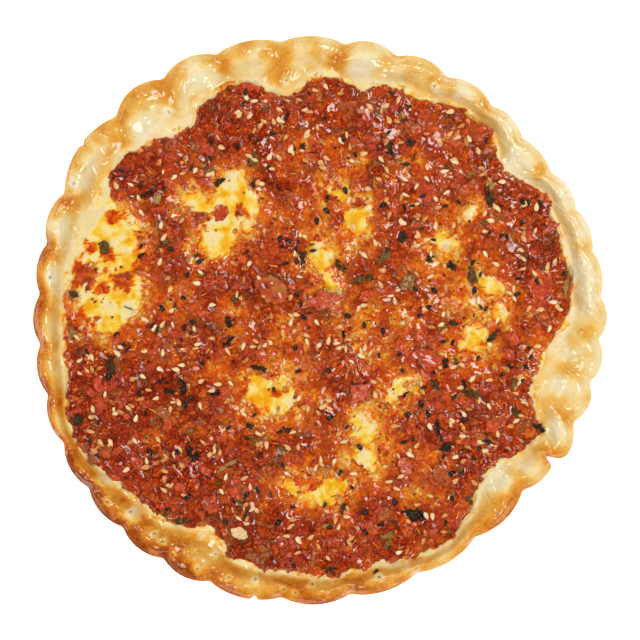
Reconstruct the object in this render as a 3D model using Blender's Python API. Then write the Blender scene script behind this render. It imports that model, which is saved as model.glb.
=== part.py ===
"""Muhammara and cheese manakish, a round flat bread with a crimped rim.

The bread holds a layer of molten cheese, and on it a spread of chopped red pepper, walnut and
herbs with windows through which the cheese shows. The largest chopped pieces are parts of
their own; the small ones and the sesame are fused to the spread.
Metres, +Z up. The origin is on the table, under the middle of the bread.
"""

import math
import random

import bmesh
import bpy
from mathutils import Matrix, Vector, noise
from mathutils.bvhtree import BVHTree
from mathutils.geometry import delaunay_2d_cdt

MM = 0.001
STEPS_ROUND = 144
GAP = 0.35 * MM

# The bread's outer edge.
BREAD_RADIUS = 101.4 * MM
# How the round is out of true: waves round the edge, height, and the crest's angle in degrees.
OUT_OF_ROUND = ((1, 2.36 * MM, 158.4), (2, 0.6 * MM, 20), (3, 1.9 * MM, 6), (5, 0.4 * MM, -6))
# A dent and a tongue of burst crust in the edge: angle and half width in degrees, and how far
# each goes out.
EDGE_DENTS = ((38, 9, -1.7 * MM), (321, 5, -0.8 * MM), (331, 3.5, 2.0 * MM))
# Runs of finger pinches, each up to where the next begins: the first valley's angle in
# degrees, how many pinches, and how far each swells past its valleys.
CRIMP_RUNS = (
    (5, 5, 1.3 * MM),
    (51, 3, 2.0 * MM),
    (85, 2, 1.5 * MM),
    (111, 2, 2.6 * MM),
    (135, 1, 3.4 * MM),
    (154, 9, 1.8 * MM),
    (247, 1, 2.0 * MM),
    (262, 4, 1.8 * MM),
    (320, 5, 2.1 * MM),
)
CRIMP_UNEVEN = 0.3
CRIMP_ROUNDNESS = 1.4
CRIMP_TWIST = math.radians(4.0)

# The bread's underside, from its flat base out to its widest line: how far in from the
# edge, and how far up from the table.
UNDERSIDE = ((8.0 * MM, 0.0), (2.8 * MM, 0.8 * MM), (0.6 * MM, 2.8 * MM))
# The bread's heights from the table, and where the crest of its rim stands.
WIDEST_HEIGHT = 5.0 * MM
RIM_HEIGHT = 11.6 * MM
RIM_UNEVEN = 0.9 * MM
TRAY_HEIGHT = 4.0 * MM
WALL_HEIGHT = 6.7 * MM
CREST_IN = 5.5 * MM
RIM_SHARES = (1.0, 0.93, 0.8, 0.62, 0.42, 0.2, 0.0)
# A big bubble in the rim: its angle and half width in degrees, and its height.
BUBBLE = (242, 5.5, 1.3 * MM)

# The filling's edge: its radius, and the bays and tongues along it, each an angle and a half
# width in degrees and how far it goes out.
FILLING_RADIUS = 91.0 * MM
FILLING_BAYS = (
    (39, 6, -7.0 * MM),
    (65, 5, -4.0 * MM),
    (80, 9, -7.5 * MM),
    (99, 7, -11.0 * MM),
    (126, 9, -8.5 * MM),
    (206, 11, 6.5 * MM),
    (242, 6, -7.5 * MM),
    (283, 4, -3.0 * MM),
    (318, 10, -10.5 * MM),
    (343, 8, -12.5 * MM),
    (355, 6, -7.5 * MM),
)
RAGGED = 1.3 * MM
RAGGED_WAVES = 19
# The spread stops short of the cheese all round, and leaves one wide bay of it bare.
CHEESE_MARGIN = 1.2 * MM
BARE_BAY = (158, 7.5, -19.0 * MM)

CHEESE_THICKNESS = 1.3 * MM
CHEESE_ROUNDING = 0.5 * MM
# Cheese that stands up in each window: its height over the layer, the gap round it, the
# rounding of its edge, and how far in its crown starts as a share of its half width.
CHEESE_RISE = 1.6 * MM
MOUND_GAP = 0.45 * MM
MOUND_ROUNDING = 0.8 * MM
MOUND_CROWN_IN = 0.25
SPREAD_THICKNESS = 2.0 * MM
SPREAD_LUMPS = 0.75 * MM
LUMP_LENGTH = 8.0 * MM
FINE_LUMP_SHARE = 0.5
# The rounding of the spread's edge: how far in and how far down.
SPREAD_SHOULDER = 0.9 * MM
SHOULDER_DROP = 0.35 * MM
SPREAD_GRID = 5.2 * MM

# Windows of cheese in the spread: middle x and y, half length, half width, and the angle of
# the length in degrees.
WINDOWS = (
    (-75.0 * MM, 3.0 * MM, 10.5 * MM, 7.5 * MM, 20),
    (-33.5 * MM, 37.0 * MM, 12.5 * MM, 9.0 * MM, 60),
    (6.0 * MM, 45.0 * MM, 6.0 * MM, 3.2 * MM, 140),
    (13.0 * MM, 34.0 * MM, 4.5 * MM, 3.5 * MM, 80),
    (-0.5 * MM, 23.0 * MM, 6.5 * MM, 3.5 * MM, 100),
    (-17.5 * MM, -27.0 * MM, 9.5 * MM, 7.5 * MM, 150),
    (16.5 * MM, -39.5 * MM, 7.0 * MM, 5.0 * MM, 100),
    (2.0 * MM, -61.0 * MM, 8.5 * MM, 4.5 * MM, 20),
    (44.0 * MM, 28.0 * MM, 5.5 * MM, 3.8 * MM, 110),
    (59.5 * MM, 13.5 * MM, 6.5 * MM, 3.2 * MM, 150),
    (54.5 * MM, -7.0 * MM, 6.5 * MM, 4.2 * MM, 40),
)
WINDOW_STEPS = 14
WINDOW_UNEVEN = 0.4
# Cheese that stands up in the bare bay.
BARE_MOUNDS = ((-76.0 * MM, 30.5 * MM, 6.0 * MM, 4.5 * MM, 68),)

# Large pieces on the spread: name, colour, middle x and y, length, width, thickness, angle.
TOMATO_RED = (0.58, 0.05, 0.03)
ONION_TAN = (0.55, 0.27, 0.12)
OLIVE_BROWN = (0.10, 0.06, 0.03)
WALNUT_CREAM = (0.72, 0.50, 0.28)
LARGE_PIECES = (
    ("tomato_piece", TOMATO_RED, 14.5 * MM, -26.0 * MM, 9.0 * MM, 7.5 * MM, 3.0 * MM, 30),
    ("tomato_chip", TOMATO_RED, 30.5 * MM, -52.5 * MM, 6.5 * MM, 5.0 * MM, 2.4 * MM, 110),
    ("pepper_piece", TOMATO_RED, 1.5 * MM, 7.0 * MM, 15.0 * MM, 7.0 * MM, 2.6 * MM, 15),
    ("onion_piece", ONION_TAN, -17.0 * MM, 10.5 * MM, 12.0 * MM, 9.5 * MM, 2.4 * MM, 140),
    ("olive_piece", OLIVE_BROWN, 31.5 * MM, 13.5 * MM, 7.5 * MM, 6.0 * MM, 2.6 * MM, 60),
    ("walnut_piece", WALNUT_CREAM, -28.5 * MM, -76.0 * MM, 6.5 * MM, 4.0 * MM, 2.6 * MM, 165),
)
PIECE_SUNK = 0.3

# Small things fused to the spread, the largest first: how many, length, width, thickness,
# and how far apart their middles stay.
HERB_LEAVES = (8, 9.0 * MM, 4.0 * MM, 1.3 * MM, 16.0 * MM)
CHOPPED_BITS = (28, 5.2 * MM, 4.0 * MM, 2.2 * MM, 8.0 * MM)
SESAME_SEEDS = (62, 3.2 * MM, 2.0 * MM, 1.2 * MM, 6.0 * MM)
SIZE_UNEVEN = 0.18
TILT_UNEVEN = 0.15
# How far inside the spread a small thing's end stays, and room round the large pieces.
EDGE_MARGIN = 1.2 * MM
PIECE_MARGIN = 1.6 * MM
MOST_TRIES = 60000
SCATTER_SEED = 7


def clear_scene():
    for thing in list(bpy.data.objects):
        bpy.data.objects.remove(thing)


def material(name, colour, roughness):
    made = bpy.data.materials.new(name)
    made.use_nodes = True
    shader = made.node_tree.nodes["Principled BSDF"]
    shader.inputs["Base Color"].default_value = (*colour, 1.0)
    shader.inputs["Roughness"].default_value = roughness
    shader.inputs["Metallic"].default_value = 0.0
    made.diffuse_color = (*colour, 1.0)
    return made


def add_object(name, mesh_builder, made_of):
    """Turns a finished bmesh into a named object of the scene."""
    bmesh.ops.recalc_face_normals(mesh_builder, faces=mesh_builder.faces)
    if mesh_builder.calc_volume(signed=True) < 0:
        bmesh.ops.reverse_faces(mesh_builder, faces=mesh_builder.faces)
    mesh = bpy.data.meshes.new(name)
    mesh_builder.to_mesh(mesh)
    mesh_builder.free()
    mesh.shade_smooth()
    mesh.materials.append(made_of)
    thing = bpy.data.objects.new(name, mesh)
    bpy.context.scene.collection.objects.link(thing)
    return thing


def smooth(share):
    share = min(max(share, 0.0), 1.0)
    return share * share * (3.0 - 2.0 * share)


def turn_between(angle, other):
    """The angle from other to angle, in degrees, between -180 and 180."""
    return (angle - other + 180.0) % 360.0 - 180.0


def hump(degrees, middle, half_width):
    """1 at the middle angle, falling to nearly 0 two half widths away."""
    return math.exp(-((turn_between(degrees, middle) / half_width) ** 2))


def pinch(angle):
    """How far the finger pinches swell at this angle, below 0 in the valleys."""
    degrees = math.degrees(angle) % 360.0
    degrees = degrees + 360.0 if degrees < CRIMP_RUNS[0][0] else degrees
    starts = [run[0] for run in CRIMP_RUNS] + [CRIMP_RUNS[0][0] + 360.0]
    for number, (start, count, swell) in enumerate(CRIMP_RUNS):
        end = starts[number + 1]
        if degrees < end:
            place = (degrees - start) / (end - start) * count
            uneven = 1.0 + CRIMP_UNEVEN * noise.noise(Vector((math.floor(place), number, 0.5)))
            return swell * uneven * (abs(math.sin(math.pi * place)) ** CRIMP_ROUNDNESS - 0.5)
    return 0.0


def bread_edge(angle):
    """The radius of the bread's outer edge."""
    radius = BREAD_RADIUS + pinch(angle)
    for waves, height, crest in OUT_OF_ROUND:
        radius += height * math.cos(waves * (angle - math.radians(crest)))
    for middle, half_width, out in EDGE_DENTS:
        radius += out * hump(math.degrees(angle), middle, half_width)
    return radius


def filling_edge(angle):
    """The radius of the cheese layer, which fills the well in the bread."""
    degrees = math.degrees(angle)
    radius = FILLING_RADIUS
    for middle, half_width, out in FILLING_BAYS:
        radius += out * hump(degrees, middle, half_width)
    ragged = Vector((math.cos(angle), math.sin(angle), 0.0)) * RAGGED_WAVES / 2.0
    return radius + RAGGED * noise.noise(ragged)


def spread_edge(angle):
    middle, half_width, out = BARE_BAY
    bare = out * hump(math.degrees(angle), middle, half_width)
    return filling_edge(angle) - CHEESE_MARGIN + bare


def rim_height(angle, share):
    """The bread's top from the well's wall, at share 0, to the outer edge, at share 1."""
    width = bread_edge(angle) - filling_edge(angle)
    crest_share = 1.0 - min(CREST_IN / width, 0.5)
    swell = pinch(angle - CRIMP_TWIST * (1.0 - share))
    wander = Vector((math.cos(angle), math.sin(angle), 3.0)) * 2.0
    crest = RIM_HEIGHT + swell + RIM_UNEVEN * noise.noise(wander)
    bubble_angle, bubble_width, bubble_height = BUBBLE
    crest += bubble_height * hump(math.degrees(angle), bubble_angle, bubble_width)
    if share < crest_share:
        return WALL_HEIGHT + (crest - WALL_HEIGHT) * smooth(share / crest_share)
    fall = (share - crest_share) / (1.0 - crest_share)
    return WIDEST_HEIGHT + (crest - WIDEST_HEIGHT) * math.sqrt(max(1.0 - fall * fall, 0.0))


def around():
    return [2.0 * math.pi * step / STEPS_ROUND for step in range(STEPS_ROUND)]


def ring(radius_of, height_of):
    """One loop of points round the middle."""
    points = []
    for angle in around():
        radius = radius_of(angle)
        points.append(Vector((radius * math.cos(angle), radius * math.sin(angle), height_of(angle))))
    return points


def bridge_rings(builder, rings):
    """Skins a list of rings into a tube and closes both of its ends."""
    loops = [[builder.verts.new(point) for point in points] for points in rings]
    count = len(loops[0])
    for lower, upper in zip(loops, loops[1:]):
        for step in range(count):
            after = (step + 1) % count
            builder.faces.new((lower[step], lower[after], upper[after], upper[step]))
    builder.faces.new(list(reversed(loops[0])))
    builder.faces.new(loops[-1])


def make_bread():
    def rim_ring(share):
        def radius(angle):
            inner = filling_edge(angle) + GAP
            return inner + share * (bread_edge(angle) - inner)

        return ring(radius, lambda angle: rim_height(angle, share))

    def under_ring(inset, height):
        return ring(lambda angle: bread_edge(angle) - inset, lambda angle: height)

    rings = [under_ring(inset, height) for inset, height in UNDERSIDE]
    rings += [rim_ring(share) for share in RIM_SHARES]
    rings.append(ring(lambda angle: filling_edge(angle) + GAP, lambda angle: TRAY_HEIGHT))
    builder = bmesh.new()
    bridge_rings(builder, rings)
    return add_object("dough_base", builder, material("baked_dough", (0.80, 0.55, 0.25), 0.45))


def window_loop(window, grow, height):
    """The uneven oval of a window, made larger all round by grow."""
    middle_x, middle_y, half_length, half_width, angle = window
    turned = math.radians(angle)
    points = []
    for step in range(WINDOW_STEPS):
        way = 2.0 * math.pi * step / WINDOW_STEPS
        sample = Vector((math.cos(way) * 1.3, math.sin(way) * 1.3, middle_x * 900.0))
        swell = 1.0 + WINDOW_UNEVEN * noise.noise(sample)
        along = (half_length * swell + grow) * math.cos(way)
        across = (half_width * swell + grow) * math.sin(way)
        x = middle_x + along * math.cos(turned) - across * math.sin(turned)
        y = middle_y + along * math.sin(turned) + across * math.cos(turned)
        points.append(Vector((x, y, height)))
    return points


def window_distance(window, x, y):
    """How far a point is outside a window, along the line from its middle; below 0 inside."""
    middle_x, middle_y, half_length, half_width, angle = window
    away = Matrix.Rotation(-math.radians(angle), 2) @ Vector((x - middle_x, y - middle_y))
    reach = away.length
    if reach == 0.0:
        return -half_width
    oval = math.hypot(away.x / half_length, away.y / half_width)
    return reach - reach / oval


def spread_clearance(x, y):
    """How far inside the spread a point is, from its outer edge and from every window."""
    inside = spread_edge(math.atan2(y, x)) - math.hypot(x, y)
    return min([inside] + [window_distance(window, x, y) for window in WINDOWS])


def spread_bottom():
    return TRAY_HEIGHT + GAP + CHEESE_THICKNESS + GAP


def spread_top(x, y):
    lumps = noise.noise(Vector((x, y, 0.0)) / LUMP_LENGTH)
    fine = noise.noise(Vector((x, y, LUMP_LENGTH)) / (0.45 * LUMP_LENGTH))
    relief = SPREAD_LUMPS * (lumps + FINE_LUMP_SHARE * fine)
    return spread_bottom() + SPREAD_THICKNESS + relief


def add_mound(builder, window):
    """A low dome of cheese that stands up into a window, rooted in the layer."""
    root = TRAY_HEIGHT + GAP + 0.3 * CHEESE_THICKNESS
    top = TRAY_HEIGHT + GAP + CHEESE_THICKNESS + CHEESE_RISE
    crown_in = MOUND_CROWN_IN * min(window[2], window[3])
    rings = [
        window_loop(window, -MOUND_GAP, root),
        window_loop(window, -MOUND_GAP, top - MOUND_ROUNDING),
        window_loop(window, -MOUND_GAP - crown_in, top - 0.2 * MOUND_ROUNDING),
    ]
    loops = [[builder.verts.new(point) for point in points] for points in rings]
    for lower, upper in zip(loops, loops[1:]):
        for step in range(WINDOW_STEPS):
            after = (step + 1) % WINDOW_STEPS
            builder.faces.new((lower[step], lower[after], upper[after], upper[step]))
    builder.faces.new(list(reversed(loops[0])))
    peak = builder.verts.new((window[0], window[1], top))
    for step in range(WINDOW_STEPS):
        builder.faces.new((loops[-1][step], loops[-1][(step + 1) % WINDOW_STEPS], peak))


def make_cheese():
    made_of = material("molten_cheese", (0.90, 0.60, 0.13), 0.35)
    bottom = TRAY_HEIGHT + GAP
    builder = bmesh.new()
    rings = [
        ring(filling_edge, lambda angle: bottom),
        ring(lambda angle: filling_edge(angle) - CHEESE_ROUNDING, lambda angle: bottom + CHEESE_THICKNESS),
    ]
    bridge_rings(builder, rings)
    cheese = add_object("cheese", builder, made_of)
    mounds = []
    for window in WINDOWS + BARE_MOUNDS:
        builder = bmesh.new()
        add_mound(builder, window)
        mounds.append(add_object("mound", builder, made_of))
    fuse(cheese, mounds)
    return cheese


def spread_grid():
    """Points of a staggered grid that lie well inside the spread."""
    points = []
    rows = int(BREAD_RADIUS / (SPREAD_GRID * math.sin(math.pi / 3.0))) + 1
    columns = int(BREAD_RADIUS / SPREAD_GRID) + 1
    for row in range(-rows, rows + 1):
        for column in range(-columns, columns + 1):
            x = (column + 0.5 * (row % 2)) * SPREAD_GRID
            y = row * SPREAD_GRID * math.sin(math.pi / 3.0)
            if spread_clearance(x, y) > 0.75 * SPREAD_GRID:
                points.append(Vector((x, y)))
    return points


def fill_between(outer, holes, inner_points):
    """Triangles inside the outer loop and outside the holes, as corners in the plane.

    The first corners are the loops' own, in order, and the inner points follow.
    """
    loops = [outer] + holes
    corners = [point.to_2d() for loop in loops for point in loop]
    faces = []
    first = 0
    for loop in loops:
        faces.append(list(range(first, first + len(loop))))
        first += len(loop)
    corners += inner_points
    found, _, triangles, sources, _, within = delaunay_2d_cdt(corners, [], faces, 1, 1e-7)
    if len(found) != len(corners):
        raise ValueError("two loops of the spread cross or touch")
    kept = [face for face, inside in zip(triangles, within) if list(inside) == [0]]
    return [[sources[corner][0] for corner in face] for face in kept]


def make_spread():
    bottom = spread_bottom()
    middle = bottom + 0.5 * SPREAD_THICKNESS
    low = [ring(spread_edge, lambda angle: bottom)]
    wide = ring(spread_edge, lambda angle: middle)
    top = [ring(lambda angle: spread_edge(angle) - SPREAD_SHOULDER, lambda angle: 0.0)]
    low += [window_loop(window, 0.0, bottom) for window in WINDOWS]
    top += [window_loop(window, 0.5 * SPREAD_SHOULDER, 0.0) for window in WINDOWS]
    for loop in top:
        for point in loop:
            point.z = spread_top(point.x, point.y) - SHOULDER_DROP
    inner = spread_grid()

    builder = bmesh.new()
    low_verts = [[builder.verts.new(point) for point in loop] for loop in low]
    wide_verts = [builder.verts.new(point) for point in wide]
    top_verts = [[builder.verts.new(point) for point in loop] for loop in top]
    inner_verts = [builder.verts.new((point.x, point.y, spread_top(point.x, point.y))) for point in inner]

    all_top = [vert for loop in top_verts for vert in loop] + inner_verts
    for corners in fill_between(top[0], top[1:], inner):
        builder.faces.new([all_top[corner] for corner in corners])
    all_low = [vert for loop in low_verts for vert in loop]
    for corners in fill_between(low[0], low[1:], []):
        builder.faces.new([all_low[corner] for corner in reversed(corners)])
    walls = [(low_verts[0], wide_verts), (wide_verts, top_verts[0])]
    walls += list(zip(low_verts[1:], top_verts[1:]))
    for lower, upper in walls:
        for step in range(len(lower)):
            after = (step + 1) % len(lower)
            builder.faces.new((lower[step], lower[after], upper[after], upper[step]))
    return add_object("muhammara", builder, material("red_pepper_spread", (0.42, 0.07, 0.02), 0.35))


def lump(length, width, thickness, detail, rng):
    """An uneven stone of chopped vegetable, lying along X."""
    builder = bmesh.new()
    bmesh.ops.create_icosphere(builder, subdivisions=detail, radius=0.5)
    lift = rng.uniform(0.0, 50.0)
    for vert in builder.verts:
        swell = 1.0 + 0.22 * noise.noise(vert.co * 2.4 + Vector((lift, 0.0, 0.0)))
        vert.co = Vector((vert.co.x * length, vert.co.y * width, vert.co.z * thickness)) * swell
    return builder


def teardrop(length, width, thickness):
    """A sesame seed, lying along X and pointed at one end."""
    builder = bmesh.new()
    bmesh.ops.create_uvsphere(builder, u_segments=6, v_segments=4, radius=0.5)
    for vert in builder.verts:
        along = vert.co.z
        narrow = 1.0 - 0.45 * along
        vert.co = Vector((along * length, vert.co.x * width * narrow, vert.co.y * thickness * narrow))
    return builder


def place(builder, x, y, z, angle, tilt):
    turned = Matrix.Rotation(angle, 4, "Z") @ Matrix.Rotation(tilt, 4, "X")
    builder.transform(Matrix.Translation((x, y, z)) @ turned)


def fuse(thing, others):
    """Joins the others to thing in one union, and keeps the one body that results."""
    group = bpy.data.collections.new("to_fuse")
    bpy.context.scene.collection.children.link(group)
    for other in others:
        bpy.context.scene.collection.objects.unlink(other)
        group.objects.link(other)
    join = thing.modifiers.new("join", "BOOLEAN")
    join.operation = "UNION"
    join.operand_type = "COLLECTION"
    join.collection = group
    join.solver = "EXACT"
    apply_modifiers(thing)
    for other in others:
        bpy.data.objects.remove(other)
    bpy.data.collections.remove(group)
    keep_largest_body(thing)


def apply_modifiers(thing):
    bpy.context.view_layer.update()
    shown = thing.evaluated_get(bpy.context.evaluated_depsgraph_get())
    finished = bpy.data.meshes.new_from_object(shown)
    thing.modifiers.clear()
    thing.data = finished


def keep_largest_body(thing):
    """Drops loose scraps, and the shells of hollows that the union sealed."""
    builder = bmesh.new()
    builder.from_mesh(thing.data)
    bmesh.ops.triangulate(builder, faces=builder.faces)
    bodies = []
    unseen = set(builder.verts)
    while unseen:
        body = []
        waiting = [unseen.pop()]
        while waiting:
            vert = waiting.pop()
            body.append(vert)
            for edge in vert.link_edges:
                other = edge.other_vert(vert)
                if other in unseen:
                    unseen.remove(other)
                    waiting.append(other)
        bodies.append(body)
    bodies.sort(key=len)
    for body in bodies[:-1]:
        bmesh.ops.delete(builder, geom=body, context="VERTS")
    builder.to_mesh(thing.data)
    builder.free()


def make_large_pieces(spread):
    """Seats each large piece in a shallow hollow of its own in the spread."""
    for name, colour, x, y, length, width, thickness, angle in LARGE_PIECES:
        made_of = material(name, colour, 0.35)
        height = spread_top(x, y) + (0.5 - PIECE_SUNK) * thickness
        pieces = []
        for grow, called in ((0.0, name), (2.0 * GAP, name + "_seat")):
            rng = random.Random(name)
            builder = lump(length + grow, width + grow, thickness + grow, 2, rng)
            place(builder, x, y, height, math.radians(angle), 0.0)
            pieces.append(add_object(called, builder, made_of))
        seat = pieces[1]
        cut = spread.modifiers.new("seat", "BOOLEAN")
        cut.operation = "DIFFERENCE"
        cut.object = seat
        cut.solver = "EXACT"
        apply_modifiers(spread)
        bpy.data.objects.remove(seat)
    keep_largest_body(spread)


def scatter(kind, margin, taken, rng):
    """Even random places on the spread, clear of its edges and of what is there already."""
    count = kind[0]
    apart = kind[4]
    places = []
    tries = 0
    while len(places) < count and tries < MOST_TRIES:
        tries += 1
        radius = FILLING_RADIUS * math.sqrt(rng.random())
        way = rng.uniform(-math.pi, math.pi)
        x = radius * math.cos(way)
        y = radius * math.sin(way)
        if spread_clearance(x, y) < margin:
            continue
        if any(math.hypot(x - other[0], y - other[1]) < max(apart, other[2]) for other in taken):
            continue
        places.append((x, y))
        taken.append((x, y, apart * 0.8))
    return places


def fuse_small_things(spread):
    rng = random.Random(SCATTER_SEED)
    surface = BVHTree.FromObject(spread, bpy.context.evaluated_depsgraph_get())
    made_of = spread.data.materials[0]
    taken = [(piece[2], piece[3], 0.75 * piece[4] + PIECE_MARGIN) for piece in LARGE_PIECES]
    small = []
    for kind in (HERB_LEAVES, CHOPPED_BITS, SESAME_SEEDS):
        length, width, thickness = kind[1:4]
        for x, y in scatter(kind, 0.5 * length + EDGE_MARGIN, taken, rng):
            height = surface.ray_cast(Vector((x, y, 1.0)), Vector((0.0, 0.0, -1.0)))[0].z
            size = 1.0 + rng.uniform(-SIZE_UNEVEN, SIZE_UNEVEN)
            if kind is SESAME_SEEDS:
                builder = teardrop(length * size, width * size, thickness)
            else:
                builder = lump(length * size, width * size, thickness, 1, rng)
            tilt = rng.uniform(-TILT_UNEVEN, TILT_UNEVEN)
            place(builder, x, y, height + 0.12 * thickness, rng.uniform(0.0, 2.0 * math.pi), tilt)
            small.append(add_object("small_thing", builder, made_of))
    fuse(spread, small)


def main():
    clear_scene()
    make_bread()
    make_cheese()
    spread = make_spread()
    make_large_pieces(spread)
    fuse_small_things(spread)


main()
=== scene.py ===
"""The looks of a muhammara and cheese manakish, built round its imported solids.

The bread, the cheese and the spread are fine meshes of the same forms as the solids, and the
chopped bits, seeds and herbs are joined meshes at their real sizes. Metres, +Z up.
"""

import math
from functools import partial

import bmesh
import bpy
import numpy as np
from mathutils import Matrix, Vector, noise


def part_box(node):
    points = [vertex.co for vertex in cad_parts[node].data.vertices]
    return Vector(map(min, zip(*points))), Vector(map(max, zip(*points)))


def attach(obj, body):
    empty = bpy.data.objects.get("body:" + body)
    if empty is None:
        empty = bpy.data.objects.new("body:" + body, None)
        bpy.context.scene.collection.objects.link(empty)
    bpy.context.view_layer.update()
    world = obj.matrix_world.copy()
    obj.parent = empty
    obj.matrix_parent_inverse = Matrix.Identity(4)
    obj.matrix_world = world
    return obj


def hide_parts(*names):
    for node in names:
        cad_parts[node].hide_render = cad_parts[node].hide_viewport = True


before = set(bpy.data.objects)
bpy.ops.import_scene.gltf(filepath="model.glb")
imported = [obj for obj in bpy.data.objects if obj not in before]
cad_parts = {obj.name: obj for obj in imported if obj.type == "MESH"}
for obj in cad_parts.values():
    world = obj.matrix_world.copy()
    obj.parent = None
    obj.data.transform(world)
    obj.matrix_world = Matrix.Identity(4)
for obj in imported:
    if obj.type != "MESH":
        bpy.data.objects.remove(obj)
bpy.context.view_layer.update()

MM = 0.001


def in_metres(lengths, rows):
    """The rows with their first numbers, which are lengths in millimetres, in metres."""
    return tuple((*(value * MM for value in row[:lengths]), *row[lengths:]) for row in rows)


# ---------------------------------------------------------------- sizes shared with the solids

BREAD_RADIUS = 101.4 * MM
OUT_OF_ROUND = ((1, 2.36 * MM, 158.4), (2, 0.6 * MM, 20), (3, 1.9 * MM, 6), (5, 0.4 * MM, -6))
EDGE_DENTS = ((38, 9, -1.7 * MM), (321, 5, -0.8 * MM), (331, 3.5, 2.0 * MM))
CRIMP_RUNS = (
    (5, 5, 1.3 * MM),
    (51, 3, 2.0 * MM),
    (85, 2, 1.5 * MM),
    (111, 2, 2.6 * MM),
    (135, 1, 3.4 * MM),
    (154, 9, 1.8 * MM),
    (247, 1, 2.0 * MM),
    (262, 4, 1.8 * MM),
    (320, 5, 2.1 * MM),
)
CRIMP_UNEVEN = 0.3
CRIMP_CUSP = 1.0
CRIMP_TWIST = math.radians(4.0)
CUSP_DEPTH = 0.6 * MM
HOLLOW_TWIST = math.radians(3.0)
TUCK_UNDER = 8.0 * MM
WIDEST_HEIGHT = 5.0 * MM
RIM_HEIGHT = 11.6 * MM
RIM_UNEVEN = 0.9 * MM
TRAY_HEIGHT = 4.0 * MM
WALL_HEIGHT = 6.7 * MM
CREST_IN = 5.5 * MM
BUBBLE = (242, 5.5, 1.3 * MM)
GAP = 0.35 * MM
FILLING_RADIUS = 91.0 * MM
FILLING_BAYS = (
    (39, 6, -7.0 * MM),
    (65, 5, -4.0 * MM),
    (80, 9, -7.5 * MM),
    (99, 7, -11.0 * MM),
    (126, 9, -8.5 * MM),
    (206, 11, 6.5 * MM),
    (242, 6, -7.5 * MM),
    (283, 4, -3.0 * MM),
    (318, 10, -10.5 * MM),
    (343, 8, -12.5 * MM),
    (355, 6, -7.5 * MM),
)
RAGGED = 1.3 * MM
RAGGED_WAVES = 19
CHEESE_MARGIN = 1.2 * MM
BARE_BAY = (158, 7.5, -19.0 * MM)
CHEESE_THICKNESS = 1.3 * MM
CHEESE_TOP = TRAY_HEIGHT + GAP + CHEESE_THICKNESS
SPREAD_BOTTOM = CHEESE_TOP + GAP
SPREAD_THICKNESS = 2.0 * MM
SPREAD_LUMPS = 0.75 * MM
LUMP_LENGTH = 8.0 * MM
WINDOWS = in_metres(4, (
    (-75, 3, 10.5, 7.5, 20), (-33.5, 37, 12.5, 9, 60), (6, 45, 6, 3.2, 140), (13, 34, 4.5, 3.5, 80),
    (-0.5, 23, 6.5, 3.5, 100), (-17.5, -27, 9.5, 7.5, 150), (16.5, -39.5, 7, 5, 100),
    (2, -61, 8.5, 4.5, 20), (44, 28, 5.5, 3.8, 110), (59.5, 13.5, 6.5, 3.2, 150),
    (54.5, -7, 6.5, 4.2, 40),
))

# ---------------------------------------------------------------- sizes of the fine surfaces

BREAD_STEPS = 1200
BASE_RINGS = (0.2, 0.4, 0.6, 0.8, 0.92)
EDGE_STATIONS = 8
RIM_STATIONS = 44
# Above 1, the rim's stations stand closer together near the outer edge.
CROWDED = 1.15
WELL_RINGS = (1.0, 0.6)
# What stands for the share of the rim under the bread and in its well.
SHARE_BELOW = 2.0
SHARE_IN_WELL = -1.0
CHEESE_GRID = 240
SPREAD_GRID = 312
CHIP_TABLE = 256
PINCH_BLEND = 9
STRAND_STEPS = 5
# How far the sheet of cheese reaches past the filling's edge, and the sheet of spread past its
# own edge. The spread stops about this far past that edge, and is ragged by about this much.
FRINGE = 3.6 * MM
SPREAD_FRINGE = 3.2 * MM
SPREAD_OVER = 1.2 * MM
SPREAD_RAGGED = 2.0 * MM
# How far apart bits gather on the spread, the share of them on the bare cheese, how far from
# the middle they are tried, and how far inside the spread's edge they stay.
GATHERING = 11.0 * MM
STRAY_SHARE = 0.12
SCATTER_REACH = 100.0 * MM
BITS_INSIDE = 0.8 * MM
# Kept this far inside the solid, whose sides are flat between its corners.
EDGE_TRIM = 0.13 * MM
# Small tears in the outer edge: an angle, a half width in degrees, how far in.
EDGE_TEARS = ((328.9, 0.7, -3.4 * MM), (256.7, 0.45, -1.6 * MM), (143.5, 0.5, -0.9 * MM))
# More bare places, beside the windows: middle, half length, half width, angle.
CLEARINGS = in_metres(4, (
    (-74, 28, 12, 10, 100), (-69, 9, 8.5, 6, 30), (-80, 8, 12, 6, 60), (-36.5, 29, 8, 6.5, 30),
    (-31, 48, 8, 4.5, 70), (-45, 42, 5.5, 3, 150), (3.8, 13.5, 5, 2.6, 110),
    (12.5, 36, 5.5, 4.5, 40), (63, 2.5, 4, 3, 60), (27, -25.5, 6.5, 3, 50), (15.5, -49, 6, 3, 120),
    (-10.5, -58.5, 4, 3, 0), (54.5, 39.5, 3.5, 2.5, 60),
))
# Scraps of spread lying on the bare cheese: middle and reach.
ISLANDS = in_metres(3, (
    (-87.5, 19, 4.2), (-83, 14, 3.4), (-81.5, 26, 3.2), (-76, 24, 3.6), (-74, 37, 3.2),
    (-70.5, 14, 5), (-77.5, 11, 3.4), (-86, 0, 5), (-42.5, 36.5, 4), (-35.5, 38.5, 2.2),
    (-28, 38.5, 3.2), (-15.5, -26, 2.4), (6, 36, 4),
))
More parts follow.
